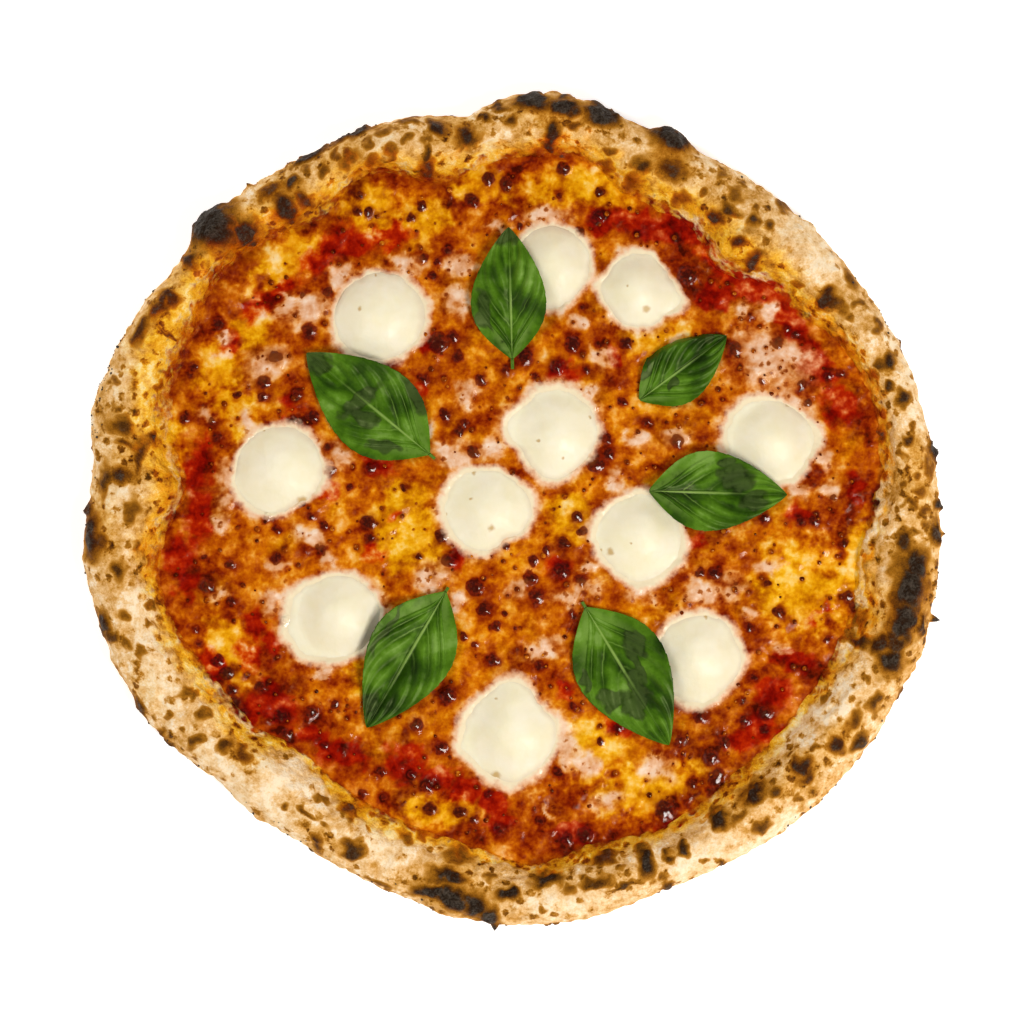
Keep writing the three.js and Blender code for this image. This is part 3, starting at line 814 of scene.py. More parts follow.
BLISTERS = BLISTERS_TOP + BLISTERS_LEFT + BLISTERS_MIDDLE + BLISTERS_RIGHT

print(len(BLISTERS), "blisters")

# %% [markdown]
# Between the large blisters lie hundreds of small ones. They are thrown at random, thicker in
# some places than in others, and kept off the mozzarella, the rim and each other.

# %% Small blisters
SMALL_BLISTERS = 1500
SMALL_SIZES = (0.45, 1.25)
SMALL_REACH = 128
CLEAR_OF_EDGE = 3
CLEAR_OF_CHEESE = 1.08
ROOM_BETWEEN = 1.6


def spare_room(first, second):
    """How much further apart two blisters are than they have to be."""
    return math.dist(first[:2], second[:2]) - ROOM_BETWEEN * (first[2] + second[2])


def throw_small_blisters(seed):
    """Places and radii of the small blisters, as rows of x, y, radius."""
    random = np.random.default_rng(seed)
    radius = SMALL_REACH * np.sqrt(random.random(SMALL_BLISTERS))
    angle = 360 * random.random(SMALL_BLISTERS)
    x = radius * np.cos(np.radians(angle))
    y = radius * np.sin(np.radians(angle))
    low, high = SMALL_SIZES
    size = low + (high - low) * random.random(SMALL_BLISTERS) ** 2.5
    shares = np.min([form.share(x, y) for form in mozzarella_pieces], axis=0)
    free = (shares > CLEAR_OF_CHEESE) & (radius < sauce_edge(angle) - CLEAR_OF_EDGE)
    free &= random.random(SMALL_BLISTERS) < 0.55 + 0.9 * lumps_flat(x, y, 13, 3)
    free &= patches(x, y, BLISTERS) < 0.1
    kept = []
    for row in np.stack([x, y, size], axis=1)[free].tolist():
        if all(spare_room(row, other) > 0 for other in kept):
            kept.append(row)
    return kept


small_blisters = throw_small_blisters(5)
print(len(small_blisters), "small blisters")

# %% [markdown]
# The heights add up: the level felt on the frame, islands, blisters like low domes, lumps of a
# few sizes, and a melted apron round each mozzarella. Under the mozzarella and at the rim the
# relief fades out, and the edge runs on under the rim's slope, so that no gap opens there.

# %% Relief of the sauce
SAUCE_CELLS = 304
SAUCE_RUN_UNDER = 4.5
ISLAND_HEIGHT = 0.45
BLISTER_SHARE = 0.36
SPECKLE_HEIGHT = 0.2
WIDE_LUMPS, MIDDLE_LUMPS, FINE_LUMPS = 1.0, 0.5, 0.2
SAUCE_FLOOR = 3.2

# How noise pushes patches about: the size of its lumps, how far it pushes, and its seed.
PATCH_PUSHES = [(5, 3.2, 11), (2.2, 1.6, 13)]
BLISTER_PUSH = (2.4, 0.9, 17)

# How far cheese runs out, as a share of its piece, and how wide a small blister's halo is.
APRON_REACH = 0.13
MELT_REACH = 0.17
MELT_MOST = 2.0
HALO = 1.5


def domes(x, y, listed):
    """Height of round domes given as (x, y, radius): the radius in the middle, 0 at the edge."""
    height = np.zeros(x.shape)
    for at_x, at_y, radius in listed:
        out = ((x - at_x) ** 2 + (y - at_y) ** 2) / radius**2
        height = np.maximum(height, radius * (1 - out))
    return height


def sauce_fields(x, y):
    """What covers the sauce at each place, for relief and colour to read."""
    angle = np.degrees(np.arctan2(y, x))
    shares = np.min([form.share(x, y) for form in mozzarella_pieces], axis=0)
    rough_x, rough_y = x, y
    for push in PATCH_PUSHES:
        rough_x, rough_y = pushed(rough_x, rough_y, *push)
    fine_x, fine_y = pushed(x, y, *BLISTER_PUSH)
    apron_reach = APRON_REACH + 0.09 * lumps_flat(x, y, 9, 23)
    apron = 1 - np.maximum(shares - 1, 0) / apron_reach
    apron = np.where(shares < 1, 1, np.maximum(apron, FIELD_FLOOR))
    melt_reach = MELT_REACH + 0.13 * lumps_flat(x, y, 11, 24)
    melt = np.clip(1 - (shares - 1) / melt_reach, FIELD_FLOOR, MELT_MOST)
    halos = [(at_x, at_y, HALO * size) for at_x, at_y, size in small_blisters]
    return {
        "milky": np.maximum(patches(rough_x, rough_y, MILKY_PATCHES), 0.5 * apron),
        "tomato": patches(rough_x, rough_y, TOMATO_PATCHES),
        "gold": patches(rough_x, rough_y, GOLDEN_PATCHES),
        "blister": patches(fine_x, fine_y, BLISTERS),
        "speckle": patches(fine_x, fine_y, halos),
        "dome": domes(fine_x, fine_y, BLISTERS),
        "melt": melt,
        "near_edge": np.hypot(x, y) / sauce_edge(angle),
        "covered": 1 - soft_step(shares, 0.9, 1.05),
    }


LEAVES = [tree_of(f"basil_leaf_{number}") for number in range(1, 7)]
LEAF_ROOM = 1.7


def pressed(x, y, z):
    """The heights, kept low enough for the leaves that lie over them."""
    low = z.copy()
    for tree in LEAVES:
        for i, (at_x, at_y) in enumerate(zip(x.ravel().tolist(), y.ravel().tolist())):
            hit = tree.ray_cast((at_x, at_y, SKY), (0, 0, -1))[0]
            if hit:
                low.flat[i] = min(low.flat[i], hit.z - LEAF_ROOM)
    return low


def sauce_height(x, y, fields):
    """Height of the fine skin over each place."""
    relief = ISLAND_HEIGHT * soft_step(fields["milky"], 0.0, 0.5)
    relief += BLISTER_SHARE * fields["dome"]
    relief += SPECKLE_HEIGHT * soft_step(fields["speckle"], -0.1, 0.9)
    relief += WIDE_LUMPS * lumps_flat(x, y, 9, 31)
    relief += MIDDLE_LUMPS * abs(lumps_flat(x, y, 4.5, 37))
    relief += FINE_LUMPS * lumps_flat(x, y, 2.4, 41)
    relief *= (1 - fields["covered"]) * (1 - 0.7 * soft_step(fields["near_edge"], 0.97, 1.02))
    return sauce_level.at(x, y) + relief


share, angle = disc_grid(SAUCE_CELLS)
radius = share * (sauce_edge(angle) + SAUCE_RUN_UNDER)
sauce_x = (radius * np.cos(np.radians(angle))).ravel()
sauce_y = (radius * np.sin(np.radians(angle))).ravel()
sauce_kept = sauce_fields(sauce_x, sauce_y)
sauce_z = pressed(sauce_x, sauce_y, sauce_height(sauce_x, sauce_y, sauce_kept))
sauce_top = np.stack([sauce_x, sauce_y, sauce_z], axis=1)
print("sauce between", sauce_z.min().round(1), "and", sauce_z.max().round(1), "mm high")

# %% [markdown]
# Baking turns one colour into the next: pale soft cheese goes peach, amber, orange and brown as
# it toasts, and tomato does the same in red. So the finish first works out how light each place
# is, and then mixes four ramps that each turn this into a colour: orange, amber, red, and the
# pale pink of soft cheese. Clouds of four sizes, milky islands with pits and browned blisters all
# change the lightness. The rim's oily slope uses the same colours where it meets the sauce, so
# they are a class of their own.
#
# A ramp's row is a lightness from 0 to 1 and the red, green and blue that it gets.

# %% Colours of sauce and cheese
OIL_TINT = (1, 0.7, 0.35, 1)
ORANGE_SAUCE = [
    (0.08, 0.25, 0.03, 0.002), (0.2, 0.47, 0.10, 0.003), (0.3, 0.59, 0.21, 0.004),
    (0.4, 0.70, 0.32, 0.005), (0.5, 0.80, 0.43, 0.01), (0.6, 0.88, 0.55, 0.05),
    (0.7, 0.92, 0.65, 0.20), (0.85, 0.95, 0.78, 0.50),
]
AMBER_SAUCE = [
    (0.08, 0.24, 0.04, 0.002), (0.2, 0.42, 0.13, 0.003), (0.3, 0.55, 0.25, 0.003),
    (0.4, 0.67, 0.36, 0.004), (0.5, 0.78, 0.48, 0.004), (0.6, 0.87, 0.59, 0.02),
    (0.7, 0.93, 0.69, 0.10), (0.85, 0.96, 0.82, 0.42),
]
TOMATO = [
    (0.08, 0.24, 0.01, 0.001), (0.22, 0.45, 0.02, 0.001), (0.34, 0.58, 0.07, 0.002),
    (0.46, 0.68, 0.14, 0.003), (0.58, 0.79, 0.29, 0.01), (0.7, 0.88, 0.52, 0.20),
    (0.85, 0.95, 0.77, 0.60),
]
SOFT_CHEESE = [
    (0.25, 0.50, 0.24, 0.08), (0.4, 0.67, 0.40, 0.20), (0.52, 0.78, 0.54, 0.36),
    (0.64, 0.86, 0.66, 0.53), (0.76, 0.91, 0.77, 0.68), (0.9, 0.95, 0.87, 0.81),
]


class Topping:
    """Sauce on a finish, with or without soft cheese, from the fields its mesh keeps."""

    def __init__(self, look, cheese=True):
        self.look = look
        self.wide = look.cloud(20, detail=2, seed=1)
        self.middle = look.cloud(8, detail=2, roughness=0.5, distortion=0.3, seed=2)
        self.small = look.cloud(3.2, detail=2, roughness=0.5, distortion=0.2, seed=3)
        self.fine = look.cloud(1.2, detail=2, roughness=0.5, seed=4)
        self.outer = look.kept("near_edge").rise(0.7, 0.95)
        self.gold = (look.kept("gold") + 0.5 * self.middle + 0.3 * self.small).rise(-0.4, 0.5)
        self.lace = None
        if cheese:
            milky = look.kept("milky") + 0.8 * self.middle + 0.35 * self.small
            self.lace = milky.rise(-0.45, 0.65)

    def plain(self):
        """How light the plain layer is, where 0 is burnt and 1 is white."""
        clouds = 0.25 * self.wide + 0.38 * self.middle + 0.24 * self.small + 0.12 * self.fine
        return 0.435 - 0.1 * self.outer * (1 - self.gold) + 0.15 * self.gold + clouds

    def milky(self, light):
        """Paler where soft cheese stands, with brown pits."""
        found, random = self.look.cells(3.2, seed=9)
        pit = (1 - (found + 0.3 * self.fine).rise(0.15, 0.42)) * random.rise(0.4, 0.5)
        veil = 0.69 + 0.2 * self.small + 0.3 * self.middle + 0.08 * self.fine - 0.4 * pit
        return blend(0.9 * self.lace, light, veil)

    def blistered(self, light):
        """Darker in and round the blisters, some of them more than others."""
        speck = (self.look.kept("speckle") + 0.3 * self.fine).rise(-0.5, 0.6)
        heat = self.look.kept("blister") + 0.2 * self.small + 0.1 * self.fine
        heat = heat + 0.7 * self.look.cloud(12, seed=15)
        light = light - 0.18 * speck - 0.14 * heat.rise(-0.9, 0.0)
        return blend(heat.rise(-0.1, 0.22), light, 0.19 - 0.14 * heat + 0.2 * self.fine)

    def coloured(self, light):
        """The colour of each place from its lightness and from what lies there."""
        look = self.look
        yellow = (0.8 * look.cloud(14, detail=2, seed=18) + 0.5 * self.gold).rise(-0.1, 0.6)
        surface = look.mix(yellow, look.ramp(light, ORANGE_SAUCE), look.ramp(light, AMBER_SAUCE))
        redness = 1.1 * look.kept("tomato")
        redness = redness + 0.8 * look.cloud(9, detail=2, distortion=0.5, seed=8)
        redness = redness + 0.5 * self.small + 0.3 * self.middle
        redness = redness + 0.3 * self.outer - 0.5 * self.gold
        surface = look.mix(redness.rise(-0.35, 0.5), surface, look.ramp(light, TOMATO))
        if self.lace is None:
            return surface
        return look.mix(0.85 * self.lace, surface, look.ramp(light, SOFT_CHEESE))


def melted(look, surface, white):
    """The surface with mozzarella run out over it: thin and peach at first, then white."""
    melt = look.kept("melt") + 0.5 * look.cloud(3.2, detail=2, seed=3)
    melt = melt + 0.3 * look.cloud(8, detail=2, seed=2) + 0.15 * look.cloud(1.2, detail=2, seed=4)
    surface = look.mix(0.8 * melt.rise(0.05, 0.9), surface, colour(0.93, 0.78, 0.65))
    return look.mix(melt.rise(0.6, 1.15), surface, white)


# %% [markdown]
# Oil makes the sauce shine, but not everywhere: it beads on the browned blisters and stands in
# small pools, and the baked cheese between them is nearly matt. One gloss over all of it would
# lay a grey veil on the colours. So the layer itself hardly mirrors anything, and a clear coat,
# whose weight follows the blisters and pools, gives the few bright glints.

# %% Finish of the sauce
RELIEF_DEPTH = 0.8


def sauce_finish():
    look = Finish("tomato_and_melted_cheese")
    topping = Topping(look)
    light = topping.blistered(topping.milky(topping.plain()))
    surface = topping.coloured(light)
    # The run-out cheese is a duller white: partly thin cheese, partly painted shade against its
    # brighter light.
    surface = melted(look, surface, colour(0.92, 0.86, 0.73))
    blister = look.kept("blister").rise(-0.2, 0.4)
    pool = look.cloud(7, detail=2, seed=33).rise(0.12, 0.5)
    wet = (blister + 0.8 * pool).at_most(1)
    drops = look.cloud(2.4, detail=1, roughness=0.4, seed=31)
    height = 0.5 + 0.3 * drops + 0.5 * blister * look.cloud(1.5, detail=0, seed=32)
    return look.done(
        Base_Color=surface,
        Roughness=0.35,
        Normal=look.bump(height, RELIEF_DEPTH),
        Specular_IOR_Level=0.06,
        Specular_Tint=OIL_TINT,
        Coat_Weight=0.08 + 0.55 * wet,
        Coat_Roughness=0.09,
        Coat_IOR=1.45,
    )


# %% The fine skin of the sauce
points, faces = closed_disc(sauce_top, SAUCE_CELLS, SAUCE_FLOOR, (0, 0, SAUCE_FLOOR))
spare = len(points) - len(sauce_top)
SAUCE_LOOKS = ("milky", "tomato", "gold", "blister", "speckle", "melt", "near_edge")
kept = {name: np.append(sauce_kept[name], np.zeros(spare)) for name in SAUCE_LOOKS}
sauce = piece("sauce_skin", points, faces, sauce_finish(), kept)
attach(sauce, "root")
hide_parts("sauce_and_cheese")

# %% [markdown]
# ## Small blisters and crumbs
#
# Hundreds of alike things that sit on a surface are a task for Geometry Nodes. The tree takes a
# mesh of loose points that keep a radius, sets a low bead of forty faces on each, and then
# pushes the joined beads about with noise, so that no two are the same. The same tree makes the
# charred crumbs on the rim.

# %% Writing trees of Geometry Nodes
class GeometryTree(Tree):
    """A tree of Geometry Nodes with named inputs."""

    def __init__(self, name, inputs):
        tree = bpy.data.node_groups.new(name, "GeometryNodeTree")
        tree.interface.new_socket("Geometry", in_out="OUTPUT", socket_type="NodeSocketGeometry")
        self.identifiers = {}
        for label, kind in inputs.items():
            made = tree.interface.new_socket(label, in_out="INPUT", socket_type=kind)
            self.identifiers[label] = made.identifier
        super().__init__(tree)
        self.start = self.node("NodeGroupInput")

    def input(self, label):
        return self.start.output(label)

    def vector(self, operation, first, second=None):
        inputs = {0: first} if second is None else {0: first, 1: second}
        return self.node("ShaderNodeVectorMath", {"operation": operation}, inputs)

    def scaled(self, vector, factor):
        inputs = {0: vector, "Scale": factor}
        return self.node("ShaderNodeVectorMath", {"operation": "SCALE"}, inputs)

    def moved(self, geometry, **inputs):
        return self.node("GeometryNodeSetPosition", {}, {"Geometry": geometry, **inputs})

    def stored(self, geometry, name, value):
        settings = {"data_type": "FLOAT", "domain": "POINT"}
        inputs = {"Geometry": geometry, "Name": name, "Value": value}
        return self.node("GeometryNodeStoreNamedAttribute", settings, inputs)

    def joined(self, *parts):
        made = self.node("GeometryNodeJoinGeometry")
        for part in parts:
            self.tree.links.new(part.source, made.source.node.inputs[0])
        return made

    def finished(self, geometry, material):
        """Realizes what is left of instances, sets the material and ends the tree."""
        solid = self.node("GeometryNodeRealizeInstances", {}, {0: geometry})
        smooth = self.node("GeometryNodeSetShadeSmooth", {}, {0: solid})
        done = self.node("GeometryNodeSetMaterial", {}, {"Geometry": smooth, "Material": material})
        self.node("NodeGroupOutput", {}, {0: done})

    def mesh(self, name, values, start_mesh=None):
        """A plain mesh object from the tree with these values for its inputs."""
        holder = bpy.data.objects.new("holder", start_mesh or bpy.data.meshes.new("holder"))
        bpy.context.collection.objects.link(holder)
        modifier = holder.modifiers.new("grow", "NODES")
        modifier.node_group = self.tree
        for label, value in values.items():
            modifier[self.identifiers[label]] = value
        evaluated = holder.evaluated_get(bpy.context.evaluated_depsgraph_get())
        mesh = bpy.data.meshes.new_from_object(evaluated)
        mesh.name = name
        holder.modifiers.remove(modifier)
        bpy.data.objects.remove(holder)
        made = bpy.data.objects.new(name, mesh)
        bpy.context.collection.objects.link(made)
        print(f"{name}: {len(mesh.vertices)} points, {len(mesh.polygons)} faces")
        return made


# %% Tree of the beads
BEAD_SEGMENTS = 8
BEAD_RINGS = 5
BEAD_NOISE = 900


def bead_tree(material):
    labels = {"Places": "NodeSocketGeometry"}
    labels |= dict.fromkeys(("Flatness", "Roughness"), "NodeSocketFloat")
    tree = GeometryTree("beads", labels)
    size = {"Radius": 1.0, "Segments": BEAD_SEGMENTS, "Rings": BEAD_RINGS}
    bead = tree.node("GeometryNodeMeshUVSphere", {}, size)
    settings = {"data_type": "FLOAT"}
    radius = tree.node("GeometryNodeInputNamedAttribute", settings, {"Name": "radius"})
    height = radius * tree.input("Flatness")
    size = tree.node("ShaderNodeCombineXYZ", {}, {"X": radius, "Y": radius, "Z": height})
    inputs = {"Points": tree.input("Places"), "Instance": bead, "Scale": size}
    placed = tree.node("GeometryNodeInstanceOnPoints", {}, inputs)
    beads = tree.node("GeometryNodeRealizeInstances", {}, {0: placed})
    noise = tree.node("ShaderNodeTexNoise", {}, {"Scale": BEAD_NOISE, "Detail": 1}, output="Color")
    push = tree.scaled(tree.vector("SUBTRACT", noise, (0.5, 0.5, 0.5)), tree.input("Roughness"))
    tree.finished(tree.moved(beads, Offset=push), material)
    return tree


def beads(name, rows, material, flatness, roughness):
    """One mesh of beads from rows of x, y, z and radius in millimetres."""
    places = bpy.data.meshes.new(name)
    places.from_pydata([tuple(MM * part for part in row[:3]) for row in rows], [], [])
    radius = places.attributes.new("radius", "FLOAT", "POINT")
    radius.data.foreach_set("value", np.array([MM * row[3] for row in rows], np.float32))
    tree = bead_tree(material)
    return tree.mesh(name, {"Flatness": flatness, "Roughness": MM * roughness}, places)


# %% Beads on the sauce
BROWNED = [
    (0.0, 0.24, 0.04, 0.003), (0.4, 0.42, 0.13, 0.005), (0.7, 0.60, 0.26, 0.01),
    (1.0, 0.78, 0.45, 0.08),
]


def blister_finish():
    look = Finish("browned_blisters")
    small = look.cloud(1.6, detail=3, seed=3)
    fine = look.cloud(0.5, detail=2, seed=4)
    light = 0.5 + 1.3 * look.cloud(4, detail=2, seed=5) + 0.3 * small + 0.2 * fine
    return look.done(
        Base_Color=look.ramp(light, BROWNED),
        Roughness=0.1,
        Specular_IOR_Level=0.3,
        Specular_Tint=OIL_TINT,
    )


SUNK = 0.1

spots = np.array(small_blisters)
spot_level = sauce_height(spots[:, 0], spots[:, 1], sauce_fields(spots[:, 0], spots[:, 1]))
spot_level = pressed(spots[:, 0], spots[:, 1], spot_level).tolist()
rows = [(x, y, z - SUNK * size, size) for (x, y, size), z in zip(small_blisters, spot_level)]
small_blister_skin = beads("small_blisters", rows, blister_finish(), flatness=0.36, roughness=0.4)
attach(small_blister_skin, "root")

# %% [markdown]
# ## The crust
#
# The rim is a puffed tube of dough: pale and floury, blistered by steam, with leopard spots and
# a few black burns. Its section is seen whole from a line through its middle, so rays cast from
# there feel it in every direction, and the hits make a neat grid of columns round the rim.

# %% Feel the rim
RIM_COLUMNS = 1180
RIM_RAYS = 120
RIM_ROWS = 80
CORE_HEIGHT = 7
FIRST_RAY = -96
SLOPE_STOP = (1.8, 3.7)
FELT_EVENNESS = (2.4, 3.4)


def felt_rim():
    """Places of the rim's skin on a grid, rays by columns, and the angle of each column."""
    tree = tree_of("crust")
    columns = 360 * np.arange(RIM_COLUMNS) / RIM_COLUMNS
    inside = sauce_edge(columns)
    core = 0.5 * (inside + outside(columns))
    inwards, height = SLOPE_STOP
    last = 180 + np.degrees(np.arctan2(CORE_HEIGHT - height, core - inside + inwards))
    share = np.linspace(0, 1, RIM_RAYS)[:, None]
    rays = np.radians(FIRST_RAY + share * (last - FIRST_RAY))
    turns = np.radians(columns)
    distance = np.zeros((RIM_RAYS, RIM_COLUMNS))
    for column, turn in enumerate(turns):
        cosine, sine = math.cos(turn), math.sin(turn)
        start = (core[column] * cosine, core[column] * sine, CORE_HEIGHT)
        for ray, lift in enumerate(rays[:, column]):
            level = math.cos(lift)
            hit = tree.ray_cast(start, (level * cosine, level * sine, math.sin(lift)))
            distance[ray, column] = hit[3] or 0
    distance = blur(distance, FELT_EVENNESS, (False, True))
    radius = core + distance * np.cos(rays)
    height = np.maximum(CORE_HEIGHT + distance * np.sin(rays), 0)
    return radius, height, columns


def evenly_spaced(radius, height, rows):
    """The same columns with their points evenly spaced along them."""
    steps = np.hypot(np.diff(radius, axis=0), np.diff(height, axis=0))
    length = np.concatenate([np.zeros((1, steps.shape[1])), np.cumsum(steps, axis=0)])
    wanted = np.linspace(0, 1, rows)
    even = np.zeros((3, rows, radius.shape[1]))
    for column in range(radius.shape[1]):
        at = wanted * length[-1, column]
        even[0, :, column] = np.interp(at, length[:, column], radius[:, column])
        even[1, :, column] = np.interp(at, length[:, column], height[:, column])
        even[2, :, column] = at
    return even


rim_radius, rim_height, rim_columns = felt_rim()
rim_radius, rim_height, rim_length = evenly_spaced(rim_radius, rim_height, RIM_ROWS)
rim_angle = np.broadcast_to(rim_columns, rim_radius.shape)
print("rim up to", rim_height.max().round(1), "mm high")

# %% [markdown]
# Burns and spots are placed by their angle round the pizza and their distance from its middle.
# Then come half a length along the rim, half a width across it and, for a burn, how deep it
# goes. The rim turns under at its widest, so past that line the distance goes on along the skin.
# Golden and floury stretches are rows of the same kind.

# %% Burns, toast and flour on the rim
BURNS = [
    (67, 150.5, 8, 4.5, 1), (77.5, 150.5, 6, 4, 1), (82.5, 152, 6, 3.5, 1), (87, 152.5, 7, 3.3, 1),
    (136.3, 155, 9.5, 11, 1), (134, 143.5, 5.5, 4.5, 1), (101, 145.5, 3.6, 3, 0.95),
    (97, 140, 4.6, 4.2, 0.9), (104, 131.5, 3.4, 4, 0.8), (103.5, 137, 2, 3.5, 0.75),
    (127, 141, 4, 7, 0.95), (124, 139, 3, 3.4, 0.75), (124, 146.5, 3, 2.5, 0.85),
    (127, 149.3, 6, 1.8, 0.7), (113, 152.2, 9, 1.8, 0.9), (119.5, 152.7, 8, 1.6, 0.9),
    (142, 151.5, 3.4, 3, 0.85), (148.2, 150, 2.8, 4, 0.8), (150, 152, 5, 2.6, 0.8),
    (154, 153.3, 6, 2.4, 0.75), (167.5, 148, 3, 5, 0.7), (170.2, 146, 2, 5, 0.7),
    (175, 146.5, 3.2, 4.5, 0.8), (172, 140.5, 8, 1.8, 0.75), (168.5, 137, 2.8, 3, 0.9),
    (176, 152, 6, 2.4, 0.7), (183.5, 157, 8, 4, 0.9), (180, 158.5, 5, 1.8, 0.8),
    (195.5, 158, 5, 2.6, 0.85), (197.5, 156, 2.5, 1.8, 0.65), (188.5, 148, 4, 2.8, 0.7),
    (184, 153, 3, 2.5, 0.6), (222, 134.5, 4, 2, 0.65), (219, 137.5, 2.6, 2.6, 0.7),
    (239.7, 142.5, 2.8, 2.4, 0.85), (244.7, 139, 4.6, 2.6, 0.8), (235.5, 136, 4, 1.5, 0.6),
    (241.5, 127, 3.4, 2.2, 0.75), (258, 144.5, 6, 3.2, 1), (261, 146, 6, 4.5, 1),
    (264.5, 147.5, 5, 4.6, 1), (266.8, 151, 3.4, 4.4, 0.95), (260, 138, 6.5, 2.8, 0.95),
    (269.3, 142.5, 4.2, 2.6, 0.95), (275.7, 138, 5, 3.3, 0.95), (282.5, 141.3, 6, 1.8, 0.7),
    (286.5, 145, 7, 1.1, 0.75), (290.8, 140, 2.8, 6, 0.95), (292.5, 150, 2.4, 2.8, 0.75),
    (285, 134, 4.5, 2, 0.75), (296.7, 141, 2.8, 2.5, 0.85), (294.3, 141.5, 1.8, 1.8, 0.7),
    (304, 138, 3.4, 4, 0.9), (310.5, 138.5, 5.4, 3, 0.95), (308.5, 150, 4, 2.4, 0.6),
    (313, 143, 2.6, 2, 0.7), (318.7, 144, 4.4, 3, 0.9), (318, 147.5, 5, 1.9, 0.75),
    (324, 149, 2.8, 3.8, 0.9), (326.5, 154.7, 4, 1.7, 0.8), (328.5, 149, 5, 2.4, 0.6),
    (332.5, 152.5, 3.4, 2.2, 0.65), (338.5, 152, 5.5, 4.5, 0.95), (344, 151, 8, 4.5, 1),
    (349, 150.5, 9, 6, 1), (352.5, 151.5, 6, 4.5, 0.95), (340, 145.5, 4, 3.5, 0.85),
    (339.5, 138.5, 2.2, 5, 0.85), (355.5, 146.5, 4, 3.4, 0.8), (346.5, 147.5, 8, 4, 0.6),
    (352, 146.5, 6, 4, 0.55), (341, 149.5, 5, 4, 0.8), (347, 155, 6, 2.5, 0.6),
    (344.5, 158.3, 5, 1.5, 0.8), (357, 158, 5, 2, 0.8), (0.5, 158.8, 2.6, 2.2, 0.95),
    (8, 159.2, 4.5, 2.4, 1), (16, 151.3, 3.2, 2.9, 0.85), (21.8, 150.2, 3.2, 3.7, 0.9),
    (18, 146.8, 1.8, 2.4, 0.75), (10.5, 149.7, 2.4, 2.2, 0.75), (11.8, 139.7, 2.8, 2, 0.85),
    (84, 140, 3, 5, 0.9), (82, 131.5, 3, 4.6, 0.85), (65, 140.5, 6, 4, 0.75),
    (69.3, 137, 3.6, 3.6, 0.75), (34, 141, 3.6, 4.4, 0.85), (33, 143, 4.6, 3, 0.7),
    (55, 132.5, 2.8, 3.2, 0.85), (54, 138, 3.6, 2.6, 0.75), (50.5, 139.5, 2.4, 2.8, 0.8),
    (48, 142.7, 2.5, 2.4, 0.7), (46, 129.7, 2.4, 4, 0.9), (50, 130.7, 2, 3, 0.85),
    (23.5, 157.6, 3, 1.2, 0.9), (90.5, 145.2, 2.8, 2.4, 0.7), (94, 146, 2.2, 1.6, 0.8),
    (92, 150.5, 3.4, 1.6, 0.7), (81, 145, 4, 1.8, 0.6), (163.5, 128.5, 3, 2.6, 0.9),
    (147.5, 131, 2.4, 2.2, 0.9), (152.6, 144.5, 0.9, 5, 0.8), (216, 145, 2, 3.4, 0.6),
    (208, 156.8, 5, 1, 0.75), (213.5, 153.6, 3.6, 1, 0.75), (300.5, 152.3, 1.8, 1.2, 0.65),
]
